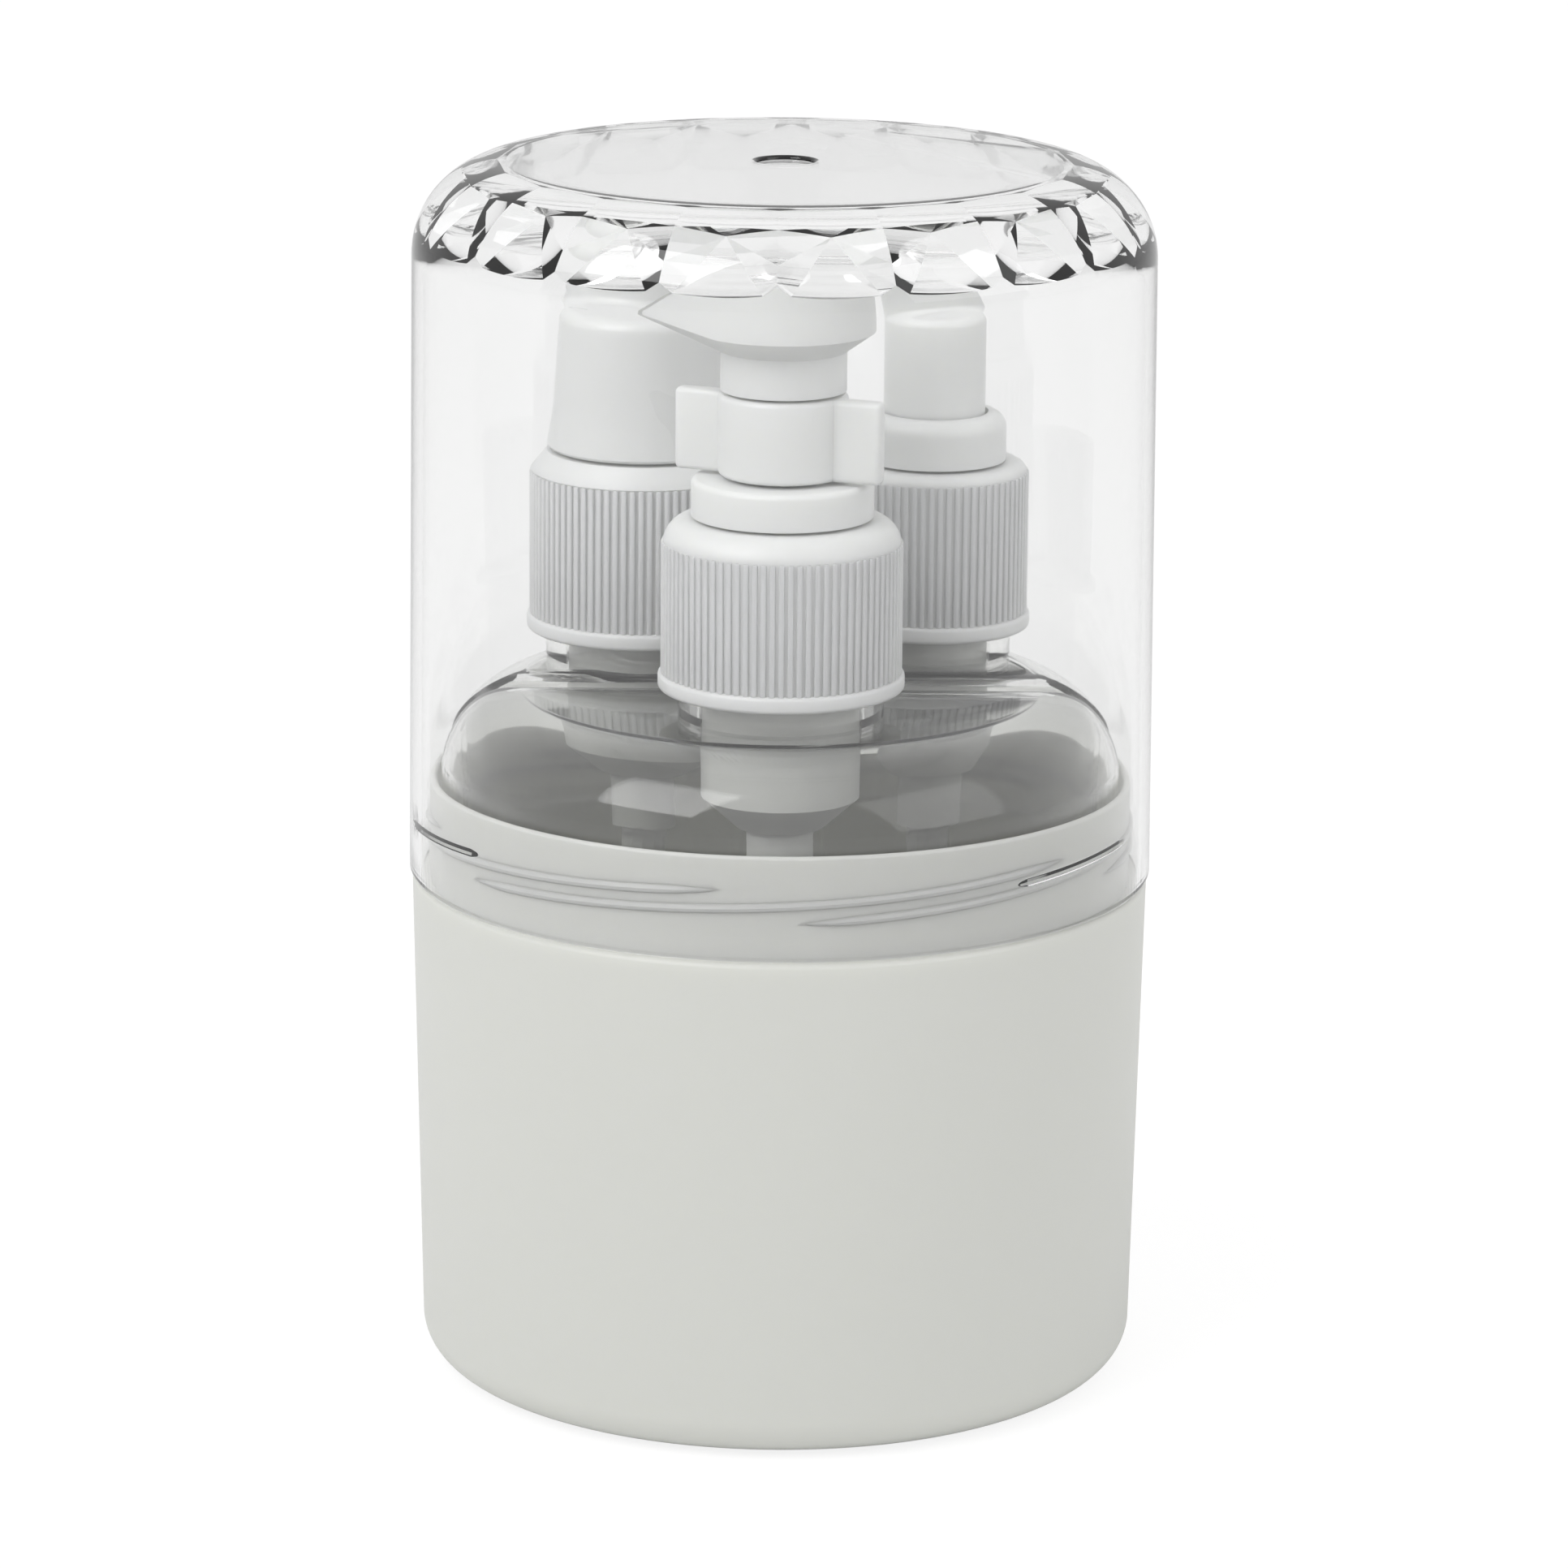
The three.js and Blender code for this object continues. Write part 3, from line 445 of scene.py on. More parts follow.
def make_lid():
    low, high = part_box("lid")
    mouth, top, mouth_radius = low.z, high.z, (high.x - low.x) / 2
    middle_height = top - LID_CROWN_ROUND
    crown = LID_CROWN_RADIUS - LID_CROWN_ROUND
    small = LID_MOUTH_ROUND
    gate_floor = top - GATE_DEPTH
    profile = [(0, mouth)]
    profile += arc(mouth_radius - small, mouth + small, small, -90, 0, 4)
    profile += arc(crown, middle_height, LID_CROWN_ROUND, 0, 90, CROWN_STEPS)
    profile += [(crown - 2 * MM, top), (crown / 2, top), (GATE_RADIUS + MM, top)]
    profile += arc(GATE_RADIUS, gate_floor, GATE_DEPTH, 90, 180, 5)
    profile += [(0, gate_floor)]
    lid = turned("lid_shell", profile, steps=LARGE_STEPS)
    below = mouth - PAST
    mouth_bore = mouth_radius - LID_WALL
    low_radius = LID_CROWN_RADIUS - LID_WALL
    draft = (mouth_bore - low_radius) / (middle_height - mouth)
    bore = [(0, below), (mouth_bore, below)]
    for rise in (LUG_BASE - LUG_BAND[0], LUG_BASE + LUG_BAND[1]):
        bore.append((mouth_bore - draft * rise, mouth + rise))
    bore += [(low_radius, middle_height), (low_radius, top), (0, top)]
    core = faceted_core(crown, middle_height, LID_CROWN_ROUND - LID_WALL, below - PAST)
    apply_boolean(core, turned("lid_bore", bore, steps=LARGE_STEPS), "INTERSECT")
    for i in range(LUG_COUNT):
        start = LUG_FIRST_ANGLE + 360 * i / LUG_COUNT
        lug = helix_rod("lid_lug", (0, 0), mouth_bore - LUG_STAND + LUG_SECTION,
                        mouth + LUG_BASE, THREAD_RISE * LUG_ARC / THREAD_ARC, start, LUG_ARC,
                        LUG_SECTION, LUG_TAPER, LUG_STEPS)
        apply_boolean(core, lug, "DIFFERENCE")
    apply_boolean(lid, core, "DIFFERENCE")
    smooth_again(lid, 3)
    finish_piece(lid, CLEAR_LID, "clear_lid", "lid", "lid")


# Bottles

BOTTLE_WALL = 1 * MM
BOTTLE_GAP = 0.4 * MM
BOTTLE_RADIUS = 34.4 * MM
BOTTLE_EDGE_ROUND = 3.6 * MM
BOTTLE_CORNER_ROUND = 4.8 * MM
BOTTLE_CORNER_STEPS = 10
BOTTLE_SHOULDER_ROUND = 9 * MM
SHOULDER_EASE = 0.1 * MM
BOTTLE_BODY = 67.8 * MM
NECK_ROOT_STAND = 1 * MM
NECK_ROOT_HEIGHT = 2.3 * MM
NECK_ROOT_DEPTH = 3 * MM
NECK_RADIUS = {"lotion": 9.2 * MM, "mist": 9.2 * MM, "serum": 7.2 * MM}
NECK_WALL = 1.1 * MM


def sector_plan(start, stop, inset, height):
    """The outline of a bottle between two rays, in degrees, drawn in by inset."""
    first, last = math.radians(start), math.radians(stop)
    radius = BOTTLE_RADIUS - inset
    corner = BOTTLE_CORNER_ROUND - inset
    side = BOTTLE_GAP + inset + corner
    lean = math.asin(side / (radius - corner))
    right = math.pi / 2

    def bend(angle, reach, curve, begins, ends, parts):
        turns = [begins + (ends - begins) * i / parts for i in range(parts + 1)]
        x, y = reach * math.cos(angle), reach * math.sin(angle)
        return [(x + curve * math.cos(a), y + curve * math.sin(a), height) for a in turns]

    steps = BOTTLE_CORNER_STEPS
    plan = bend(first + lean, radius - corner, corner, first - right, first + lean, steps)
    plan += bend(0, 0, radius, first + lean, last - lean, int((stop - start) / 2))[1:]
    plan += bend(last - lean, radius - corner, corner, last - lean, last + right, steps)[1:]
    if stop - start < 180:
        plan += bend((first + last) / 2, side / math.sin((last - first) / 2), corner, last + right,
                     first + 3 * right, steps)
    return plan


def sector_block(name, start, stop, inset, base, top):
    """A block of a bottle's outline, with rounded rims and a domed shoulder."""
    plan = sector_plan(start, stop, inset, base)
    begin(plan[0])
    draw_on(plan + plan[:1])
    bpy.ops.mesh.select_all(action="SELECT")
    bpy.ops.mesh.remove_doubles(threshold=SAME_PLACE)
    bpy.ops.mesh.edge_face_add()
    bpy.ops.mesh.extrude_region_move(TRANSFORM_OT_translate={"value": (0, 0, top - base)})
    bpy.ops.mesh.select_all(action="SELECT")
    bpy.ops.mesh.normals_make_consistent(inside=False)
    bpy.ops.mesh.select_mode(type="EDGE")
    bpy.ops.mesh.select_all(action="DESELECT")
    bpy.ops.object.mode_set(mode="OBJECT")
    mesh = bpy.context.object.data
    for edge in mesh.edges:
        ends = [mesh.vertices[v].co.z for v in edge.vertices]
        edge.select = abs(ends[0] - ends[1]) < SAME_PLACE
    bpy.ops.object.mode_set(mode="EDIT")
    bpy.ops.mesh.bevel(offset=BOTTLE_EDGE_ROUND - inset, segments=8, affect="EDGES")
    block = end(name)
    curve = BOTTLE_SHOULDER_ROUND - inset
    wide = BOTTLE_RADIUS - inset + SHOULDER_EASE
    crest = top + SHOULDER_EASE / 2
    outline = [(0, base - PAST), (wide, base - PAST)]
    outline += arc(wide - curve, crest - curve, curve, 0, 90, 24)
    outline += [(0, crest)]
    return apply_boolean(block, turned("shoulder", outline, steps=LARGE_STEPS), "INTERSECT")


def make_bottle(prefix, start, stop):
    node = prefix + "_bottle"
    low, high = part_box(node)
    centre = centre_of(prefix + "_collar")
    top = low.z + BOTTLE_BODY
    ceiling = top - BOTTLE_WALL
    body = sector_block(prefix + "_bottle_clear", start, stop, 0, low.z, top)
    inside = sector_block("inside", start, stop, BOTTLE_WALL, low.z + BOTTLE_WALL, ceiling)
    root_base = top - NECK_ROOT_DEPTH
    root_top = top + NECK_ROOT_HEIGHT
    radius = NECK_RADIUS[prefix]
    root = radius + NECK_ROOT_STAND
    neck_profile = [(0, root_base), (root, root_base), (root, root_top), (radius, root_top)]
    neck_profile += [(radius, high.z), (0, high.z)]
    neck = turned("neck", neck_profile, centre)
    bore_radius = radius - NECK_WALL
    low_end, high_end = root_base - PAST, high.z + PAST
    hollow = [(0, low_end), (bore_radius, low_end), (bore_radius, high_end), (0, high_end)]
    bore = turned("bore", hollow, centre)
    apply_boolean(inside, bore, "UNION")
    apply_boolean(body, neck, "UNION")
    apply_boolean(body, inside, "DIFFERENCE")
    smooth_again(body, 25)
    finish_piece(body, CLEAR_BOTTLE, "clear_bottle", "case", node)


# Parts that the three pumps share

COLLAR_FLANGE_HEIGHT = 1.7 * MM
COLLAR_FLANGE_STAND = 0.4 * MM
COLLAR_WALL = 1.5 * MM
COLLAR_TOP_THICKNESS = 2.6 * MM
COLLAR_FLANGE_ROUND = 0.45 * MM
COLLAR_EASE = 0.05 * MM
COLLAR_HOLE = {"lotion": 6.6 * MM, "mist": 6.6 * MM, "serum": 5.6 * MM}
COLLAR_SHOULDER_ROUND = {"lotion": 2.6 * MM, "serum": 1.2 * MM}
MIST_COLLAR_RISE = 1.4 * MM
MIST_SHOULDER_HEIGHT = 2.2 * MM
MIST_SHOULDER_WIDTH = 1.65 * MM
MIST_NECK_RADIUS = 7.8 * MM
RIB_PITCH = 0.88 * MM
RIB_WIDTH = 0.56 * MM
RIB_STAND = 0.32 * MM
RIB_DEPTH = 0.2 * MM
RIB_ROUND = 0.3 * RIB_WIDTH
RIB_SINK = 0.2 * MM


def make_rib(centre, radius, base, top):
    """One upright rib with rounded edges on the side of a collar."""
    deselect()
    bpy.ops.mesh.primitive_cube_add(size=1, location=(centre[0] + radius, centre[1], (base + top) / 2),
                                    scale=(2 * RIB_STAND, RIB_WIDTH, top - base))
    bpy.ops.object.transform_apply(location=True, rotation=True, scale=True)
    bpy.ops.object.mode_set(mode="EDIT")
    bpy.ops.mesh.select_all(action="SELECT")
    bpy.ops.mesh.bevel(offset=RIB_ROUND, segments=2, affect="EDGES")
    return end("rib")


def make_collar(prefix):
    node = prefix + "_collar"
    low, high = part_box(node)
    centre = centre_of(node)
    flange_radius = (high.x - low.x) / 2
    radius = flange_radius - COLLAR_FLANGE_STAND
    bore = radius - COLLAR_WALL
    body_radius = radius - RIB_DEPTH
    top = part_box("lotion_collar")[1].z
    flange_top = low.z + COLLAR_FLANGE_HEIGHT
    small = COLLAR_FLANGE_ROUND
    hole = COLLAR_HOLE[prefix]
    profile = [(bore, low.z), (flange_radius - small, low.z)]
    profile += arc(flange_radius - small, low.z + small, small, -90, 0, 4)[1:]
    profile += arc(flange_radius - small, flange_top - small, small, 0, 90, 4)
    profile += [(body_radius, flange_top)]
    if prefix == "mist":
        shoulder = top + MIST_COLLAR_RISE
        rib_top = shoulder - MIST_SHOULDER_HEIGHT
        profile += [(body_radius, rib_top), (radius, rib_top + RIB_DEPTH)]
        profile += [(radius - MIST_SHOULDER_WIDTH, shoulder), (MIST_NECK_RADIUS, shoulder)]
        profile += [(MIST_NECK_RADIUS, high.z)]
    else:
        curve = COLLAR_SHOULDER_ROUND[prefix]
        rib_top = top - curve + RIB_DEPTH
        profile += arc(radius - COLLAR_EASE - curve, top - curve, curve, 0, 90, 10)
    lip = top - COLLAR_TOP_THICKNESS
    profile += [(hole, high.z), (hole, lip), (bore, lip)]
    collar = turned(prefix + "_collar_ribbed", profile, centre)
    rib = make_rib(centre, body_radius, flange_top - RIB_SINK, rib_top + RIB_SINK / 2)
    ribs = [rib]
    count = round(2 * math.pi * radius / RIB_PITCH)
    for i in range(1, count):
        copy = rib.copy()
        copy.data = rib.data.copy()
        bpy.context.scene.collection.objects.link(copy)
        deselect()
        copy.select_set(True)
        bpy.context.view_layer.objects.active = copy
        turn = 2 * math.pi * i / count
        bpy.ops.transform.rotate(value=-turn, orient_axis="Z", center_override=(*centre, 0))
        bpy.ops.object.transform_apply(location=True, rotation=True, scale=True)
        ribs.append(copy)
    join([collar, *ribs])
    finish_piece(collar, WHITE_PLASTIC, "white_plastic", "case", node)


BARREL_WALL = 1.2 * MM
BARREL_TAPER = 3.2 * MM
BARREL_LENGTH = 23.9 * MM
BARREL_FLANGE = 1.2 * MM
BARREL_END_RADIUS = 4.4 * MM
BARREL_CLEARANCE = 0.3 * MM
SOCKET_RADIUS = 3.3 * MM
SOCKET_BORE = 2.6 * MM


def make_barrel(prefix):
    node = prefix + "_barrel"
    low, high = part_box(node)
    flange_base = high.z - BARREL_FLANGE
    shelf = flange_base - BARREL_LENGTH
    neck = NECK_RADIUS[prefix]
    radius = neck - NECK_WALL - BARREL_CLEARANCE
    bore = radius - BARREL_WALL
    profile = [(SOCKET_BORE, low.z), (SOCKET_RADIUS, low.z), (SOCKET_RADIUS, shelf - BARREL_TAPER)]
    profile += [(BARREL_END_RADIUS, shelf - BARREL_TAPER), (radius, shelf), (radius, flange_base)]
    profile += [(neck, flange_base), (neck, high.z), (bore, high.z), (bore, shelf + BARREL_WALL)]
    profile += [(SOCKET_BORE, shelf + BARREL_WALL)]
    barrel = turned(prefix + "_barrel_smooth", profile, centre_of(node))
    finish_piece(barrel, TUBE_PLASTIC, "white_plastic", "case", node)


SPRING_TURNS = 6
SPRING_WIRE = 0.4 * MM
SPRING_STEPS = 24


def make_spring(prefix, joint=None):
    node = prefix + "_spring"
    low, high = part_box(node)
    radius = (high.x - low.x) / 2 - SPRING_WIRE
    rise = high.z - low.z - 2 * SPRING_WIRE
    spring = helix_rod(prefix + "_spring_wire", centre_of(prefix + "_collar"), radius, low.z + SPRING_WIRE,
                       rise, 0, 360 * SPRING_TURNS, SPRING_WIRE, 0, SPRING_STEPS * SPRING_TURNS)
    finish_piece(spring, STEEL, "steel", "case", node)
    if joint:
        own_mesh(spring)


# Lotion pump

CHAPLET_ROUND = 0.6 * MM
CHAPLET_SPIGOT = 6.3 * MM
CHAPLET_GAP = 0.3 * MM
CHAPLET_DISH = 0.5 * MM
CLIP_TURN = math.radians(-22)
CLIP_RADIUS = 6.4 * MM
CLIP_WING_REACH = 10.8 * MM
CLIP_WING_THICKNESS = 2 * MM
CLIP_BORE = 3.65 * MM
CLIP_ROUND = 0.6 * MM
CHAPLET_DISH_EDGE = CLIP_BORE + 1.5 * MM
CHAPLET_DISH_FLOOR = CLIP_BORE + 1.2 * MM
HEAD_NECK_RADIUS = 6.2 * MM
HEAD_NECK_HEIGHT = 3.9 * MM
HEAD_FLARE = 2 * MM
HEAD_RADIUS = 9 * MM
HEAD_TOP_ROUND = 1.8 * MM
SPOUT_REACH = 16.8 * MM
SPOUT_RADIUS = 3.4 * MM
SPOUT_RISE = 3.2 * MM
SPOUT_BORE = 1.1 * MM
STEM_SOCKET = 3.6 * MM


def make_chaplet():
    low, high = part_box("lotion_chaplet")
    centre = centre_of("lotion_chaplet")
    radius = (high.x - low.x) / 2
    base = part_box("lotion_collar")[1].z + CHAPLET_GAP
    curve = CHAPLET_ROUND
    profile = [(CLIP_BORE, low.z), (CHAPLET_SPIGOT, low.z), (CHAPLET_SPIGOT, base), (radius, base)]
    profile += arc(radius - curve, high.z - curve, curve, 0, 90, 6)
    dish = high.z - CHAPLET_DISH
    profile += [(CHAPLET_DISH_EDGE, high.z), (CHAPLET_DISH_FLOOR, dish), (CLIP_BORE, dish)]
    chaplet = turned("lotion_chaplet_smooth", profile, centre)
    finish_piece(chaplet, WHITE_PLASTIC, "white_plastic", "case", "lotion_chaplet")


def make_lock_clip():
    low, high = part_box("lotion_lock_clip")
    centre = centre_of("lotion_stem")
    small = CLIP_ROUND
    barrel = [(0, low.z)]
    barrel += arc(CLIP_RADIUS - small, low.z + small, small, -90, 0, 4)
    barrel += arc(CLIP_RADIUS - small, high.z - small, small, 0, 90, 4)
    barrel += [(0, high.z)]
    clip = turned("lotion_lock_clip_smooth", barrel, centre)
    middle = (low.z + high.z) / 2
    deselect()
    offset = Vector((math.sin(CLIP_TURN), -math.cos(CLIP_TURN), 0)) * CLIP_WING_THICKNESS / 2
    bpy.ops.mesh.primitive_cube_add(size=1, location=(centre[0] + offset.x, centre[1] + offset.y, middle),
                                    rotation=(0, 0, CLIP_TURN),
                                    scale=(2 * CLIP_WING_REACH, CLIP_WING_THICKNESS, high.z - low.z))
    bpy.ops.object.transform_apply(location=True, rotation=True, scale=True)
    bpy.ops.object.mode_set(mode="EDIT")
    bpy.ops.mesh.select_all(action="SELECT")
    bpy.ops.mesh.bevel(offset=small, segments=4, affect="EDGES")
    wings = end("wings")
    apply_boolean(clip, wings, "UNION")
    deselect()
    depth = CLIP_RADIUS + PAST
    back = Vector((-math.sin(CLIP_TURN), math.cos(CLIP_TURN), 0)) * depth / 2
    bpy.ops.mesh.primitive_cube_add(size=1, location=(centre[0] + back.x, centre[1] + back.y, middle),
                                    rotation=(0, 0, CLIP_TURN),
                                    scale=(2 * CLIP_BORE, depth, high.z - low.z + PAST))
    bpy.ops.object.transform_apply(location=True, rotation=True, scale=True)
    mouth = bpy.context.object
    start, stop = low.z - PAST, high.z + PAST
    bore = [(0, start), (CLIP_BORE, start), (CLIP_BORE, stop), (0, stop)]
    apply_boolean(clip, mouth, "DIFFERENCE")
    apply_boolean(clip, turned("bore", bore, centre), "DIFFERENCE")
    smooth_again(clip, 35)
    finish_piece(clip, WHITE_PLASTIC, "white_plastic", "lock_clip", "lotion_lock_clip")


def make_head():
    low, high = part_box("lotion_head")
    x, y = centre_of("lotion_stem")
    neck_top = low.z + HEAD_NECK_HEIGHT
    turn = Vector((math.cos(CLIP_TURN), math.sin(CLIP_TURN), 0))
    spout = Vector((x, y, 0)) - turn * (SPOUT_REACH - SPOUT_RADIUS)
    rings = [(x, y, neck_top, HEAD_NECK_RADIUS), (x, y, neck_top + HEAD_FLARE, HEAD_RADIUS)]
    rings.append((spout.x, spout.y, neck_top + SPOUT_RISE, SPOUT_RADIUS))
    for inset, height in arc(0, high.z - HEAD_TOP_ROUND, HEAD_TOP_ROUND, 0, 90, 6):
        rings.append((x, y, height, HEAD_RADIUS - HEAD_TOP_ROUND + inset))
        rings.append((spout.x, spout.y, height, SPOUT_RADIUS - HEAD_TOP_ROUND + inset))
    head = hull("lotion_head_smooth", rings, 30)
    overlap = neck_top + PAST
    neck = [(0, low.z), (HEAD_NECK_RADIUS, low.z), (HEAD_NECK_RADIUS, overlap), (0, overlap)]
    apply_boolean(head, turned("neck", neck, (x, y)), "UNION")
    start, stop = low.z - PAST, neck_top + HEAD_FLARE
    socket = [(0, start), (STEM_SOCKET, start), (STEM_SOCKET, stop), (0, stop)]
    apply_boolean(head, turned("socket", socket, (x, y)), "DIFFERENCE")
    deselect()
    reach = SPOUT_REACH + PAST
    middle = Vector((x, y, (neck_top + SPOUT_RISE + high.z) / 2)) - turn * reach / 2
    bpy.ops.mesh.primitive_cylinder_add(vertices=32, radius=SPOUT_BORE, depth=reach, location=middle,
                                        rotation=(0, math.pi / 2, CLIP_TURN))
    bpy.ops.object.transform_apply(location=True, rotation=True, scale=True)
    apply_boolean(head, bpy.context.object, "DIFFERENCE")
    smooth_again(head, 30)
    finish_piece(head, WHITE_PLASTIC, "white_plastic", "lotion_pump_head", "lotion_head")


# Spray pumps

NOZZLE_RADIUS = 1.7 * MM
NOZZLE_DEPTH = 1.6 * MM
NOZZLE_DROP = 3.4 * MM
NOZZLE_CLEARANCE = 0.3 * MM
BUTTON_SKIRT_WALL = 0.9 * MM
BUTTON_TURN = {"mist": math.radians(-135), "serum": math.radians(135)}
BUTTON_SKIRT_HEIGHT = 3 * MM
BUTTON_ROUND = 0.9 * MM
BUTTON_DISH = 0.5 * MM
BUTTON_DISH_EDGE = 1.6 * MM
BUTTON_DISH_START = 0.3
BUTTON_DISH_FLAT = 0.45
SPRAY_STEM_SOCKET = 2.4 * MM


def make_button(prefix):
    node = prefix + "_button"
    low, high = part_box(node)
    centre = centre_of(node)
    radius = (high.x - low.x) / 2
    curve = BUTTON_ROUND
    socket_end = high.z - NOZZLE_DROP + NOZZLE_RADIUS
    skirt_top = low.z + BUTTON_SKIRT_HEIGHT
    bore = radius - BUTTON_SKIRT_WALL
    dish = high.z - BUTTON_DISH
    profile = [(bore, low.z), (radius, low.z)]
    profile += arc(radius - curve, high.z - curve, curve, 0, 90, 8)
    profile += [(radius - BUTTON_DISH_EDGE, high.z - BUTTON_DISH_START * BUTTON_DISH)]
    profile += [(BUTTON_DISH_FLAT * radius, dish), (0, dish)]
    profile += [(0, socket_end), (SPRAY_STEM_SOCKET, socket_end), (SPRAY_STEM_SOCKET, skirt_top)]
    profile += [(bore, skirt_top)]
    button = turned(prefix + "_button_smooth", profile, centre)
    deselect()
    height = high.z - NOZZLE_DROP
    depth = NOZZLE_DEPTH + PAST
    turn = BUTTON_TURN[prefix]
    reach = radius - NOZZLE_DEPTH + depth / 2
    place = (centre[0] + reach * math.sin(turn), centre[1] - reach * math.cos(turn), height)
    bpy.ops.mesh.primitive_cylinder_add(vertices=48, radius=NOZZLE_RADIUS + NOZZLE_CLEARANCE,
                                        depth=depth, location=place, rotation=(math.pi / 2, 0, turn))
    bpy.ops.object.transform_apply(location=True, rotation=True, scale=True)
    apply_boolean(button, bpy.context.object, "DIFFERENCE")
    smooth_again(button, 30)
    finish_piece(button, WHITE_PLASTIC, "white_plastic", prefix + "_button", node)


OVERCAP_WALL = 1.3 * MM
OVERCAP_RIM_WALL = 1.95 * MM
OVERCAP_RIM_HEIGHT = 4.1 * MM
OVERCAP_DRAFT = 0.6 * MM
OVERCAP_ROUND = 1.4 * MM
OVERCAP_INSIDE_ROUND = 0.8 * MM
OVERCAP_RIM_EDGE = 0.3 * MM
SHROUD_ROUND = 1.7 * MM
SHROUD_WALL = 1.9 * MM


def make_overcap():
    low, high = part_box("mist_overcap")
    rim_radius = (high.x - low.x) / 2
    bore = rim_radius - OVERCAP_RIM_WALL
    radius = bore + OVERCAP_WALL
    crown = radius - OVERCAP_DRAFT
    curve, small = OVERCAP_ROUND, OVERCAP_INSIDE_ROUND
    rim_top = low.z + OVERCAP_RIM_HEIGHT
    edge = rim_radius - OVERCAP_RIM_EDGE
    ceiling = high.z - OVERCAP_WALL
    profile = [(bore, low.z), (edge, low.z), (rim_radius, low.z + OVERCAP_RIM_EDGE)]
    profile += [(edge, low.z + OVERCAP_RIM_HEIGHT / 2), (radius, rim_top)]
    profile += arc(crown - curve, high.z - curve, curve, 0, 90, 8)
    profile += [(0, high.z), (0, ceiling)]
    profile += arc(crown - OVERCAP_WALL - small, ceiling - small, small, 90, 0, 4)
    profile += [(bore, rim_top)]
    overcap = turned("mist_overcap_smooth", profile, centre_of("mist_overcap"))
    finish_piece(overcap, CAP_PLASTIC, "white_plastic", "overcap", "mist_overcap")


def make_shroud():
    low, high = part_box("serum_shroud")
    radius = (high.x - low.x) / 2
    bore = radius - SHROUD_WALL
    curve = SHROUD_ROUND
    profile = [(bore, low.z), (radius, low.z)]
    profile += arc(radius - curve, high.z - curve, curve, 0, 90, 8)
    profile += [(bore, high.z)]
    shroud = turned("serum_shroud_smooth", profile, centre_of("serum_shroud"))
    finish_piece(shroud, CAP_PLASTIC, "white_plastic", "case", "serum_shroud")


# Light, floor and camera

FLOOR_SIZE = 6
FLOOR_DROP = 0.3 * MM
FLOOR_LIFT = 0.84
FLOOR_COLOUR = (0.93, 0.93, 0.93, 1)
FLOOR_SEEN_COLOUR = (0.2, 0.2, 0.2, 1)
WORLD_STRENGTH = 0.72
WORLD_SEEN_STRENGTH = 1
LAMP_AIM = Vector((0, 0, 0.06))


def seen_rays(nodes, links):
    """A value of 1 for rays that carry what the camera sees, straight or through clear plastic."""
    path = nodes.new("ShaderNodeLightPath")
    seen = nodes.new("ShaderNodeMath")
    seen.operation = "MAXIMUM"
    links.new(path.outputs["Is Camera Ray"], seen.inputs[0])
    links.new(path.outputs["Is Transmission Ray"], seen.inputs[1])
    return seen.outputs[0]


def make_floor():
    deselect()
    bpy.ops.mesh.primitive_plane_add(size=FLOOR_SIZE, location=(0, 0, -FLOOR_DROP))
    floor = bpy.context.object
    floor.name = "floor"
    material = bpy.data.materials.new("Floor")
    material.use_nodes = True
    nodes, links = material.node_tree.nodes, material.node_tree.links
    shader = nodes["Principled BSDF"]
    shader.inputs["Roughness"].default_value = 0.9
    shader.inputs["Specular IOR Level"].default_value = 0.1
    shader.inputs["Emission Color"].default_value = (1, 1, 1, 1)
    seen = seen_rays(nodes, links)
    lift = nodes.new("ShaderNodeMath")
    lift.operation = "MULTIPLY"
    lift.inputs[1].default_value = FLOOR_LIFT
    shade = nodes.new("ShaderNodeMix")
    shade.data_type = "RGBA"
    shade.inputs["A"].default_value = FLOOR_COLOUR
    shade.inputs["B"].default_value = FLOOR_SEEN_COLOUR
    links.new(seen, lift.inputs[0])
    links.new(seen, shade.inputs["Factor"])
    links.new(lift.outputs[0], shader.inputs["Emission Strength"])
    links.new(shade.outputs["Result"], shader.inputs["Base Color"])
    floor.data.materials.append(material)


def make_world():
    world = bpy.data.worlds.new("Studio")
    bpy.context.scene.world = world
    world.use_nodes = True
    nodes, links = world.node_tree.nodes, world.node_tree.links
    nodes["Background"].inputs["Color"].default_value = (1, 1, 1, 1)
    level = nodes.new("ShaderNodeMapRange")
    level.inputs["To Min"].default_value = WORLD_STRENGTH
    level.inputs["To Max"].default_value = WORLD_SEEN_STRENGTH
    links.new(seen_rays(nodes, links), level.inputs["Value"])
    links.new(level.outputs[0], nodes["Background"].inputs["Strength"])


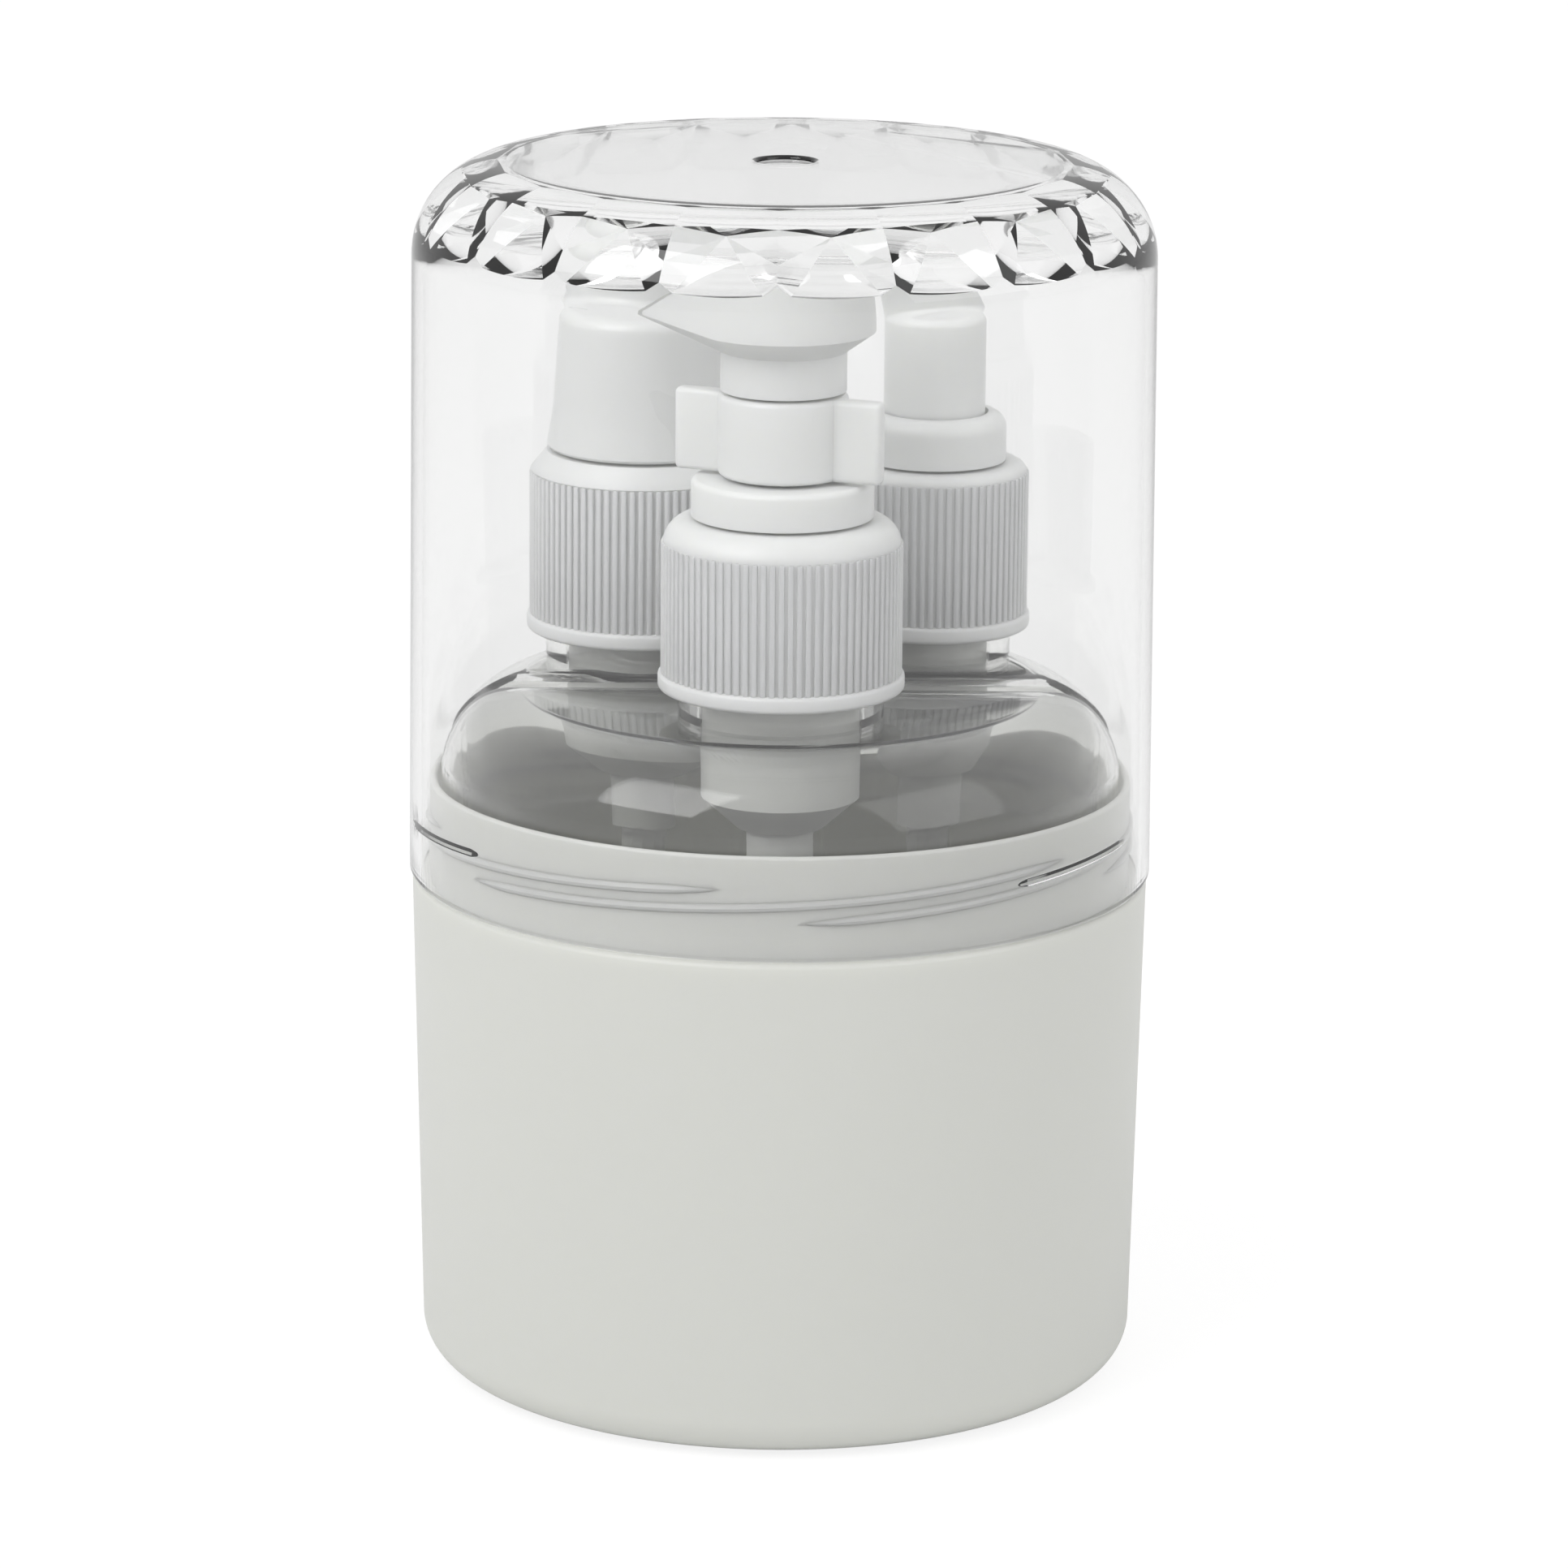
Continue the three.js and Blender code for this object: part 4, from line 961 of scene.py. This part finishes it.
def make_lamp(name, place, size, power):
    data = bpy.data.lights.new(name, "AREA")
    data.size = size
    data.energy = power
    lamp = bpy.data.objects.new(name, data)
    lamp.location = place
    lamp.rotation_euler = (LAMP_AIM - Vector(place)).to_track_quat("-Z", "Y").to_euler()
    bpy.context.scene.collection.objects.link(lamp)


def make_camera():
    data = bpy.data.cameras.new("Camera")
    data.sensor_width = SENSOR_WIDTH
    data.lens = FOCAL_PIXELS / PICTURE_WIDTH * SENSOR_WIDTH
    data.shift_x = PICTURE_OFFSET[0] / PICTURE_WIDTH
    data.shift_y = PICTURE_OFFSET[1] / PICTURE_WIDTH
    data.clip_end = 10
    camera = bpy.data.objects.new("Camera", data)
    across, up = CAMERA_DISTANCE * math.cos(CAMERA_PITCH), CAMERA_DISTANCE * math.sin(CAMERA_PITCH)
    camera.location = (0, -across, AIM_HEIGHT + up)
    camera.rotation_euler = (math.pi / 2 - CAMERA_PITCH, 0, 0)
    bpy.context.scene.collection.objects.link(camera)
    camera.rotation_euler.rotate_axis("Z", CAMERA_ROLL)
    bpy.context.scene.camera = camera


make_camera()
make_cup()
make_lid()
make_bottle("lotion", -180, 0)
make_bottle("mist", 90, 180)
make_bottle("serum", 0, 90)
for pump in NECK_RADIUS:
    make_collar(pump)
for pump in NECK_RADIUS:
    make_barrel(pump)
make_spring("lotion")
make_spring("mist", "mist_press")
make_spring("serum", "serum_press")
make_chaplet()
make_lock_clip()
make_head()
make_button("mist")
make_button("serum")
make_overcap()
make_shroud()

NODE_MATERIALS = {"white_plastic": WHITE_PLASTIC, "seal": SEAL_PLASTIC, "steel": STEEL, "tube": TUBE_PLASTIC}
for part in frame["record"]["subparts"]:
    if part["material_slot"] in NODE_MATERIALS:
        node = frame["nodes"][part["node"]]
        node.data.materials.clear()
        node.data.materials.append(NODE_MATERIALS[part["material_slot"]])

make_floor()
make_world()
make_lamp("Key", (-0.8, -0.7, 1.1), 0.9, 9)
make_lamp("Fill", (1.0, -0.6, 0.7), 1.0, 3)

scene = bpy.context.scene
scene.view_settings.view_transform = "Standard"
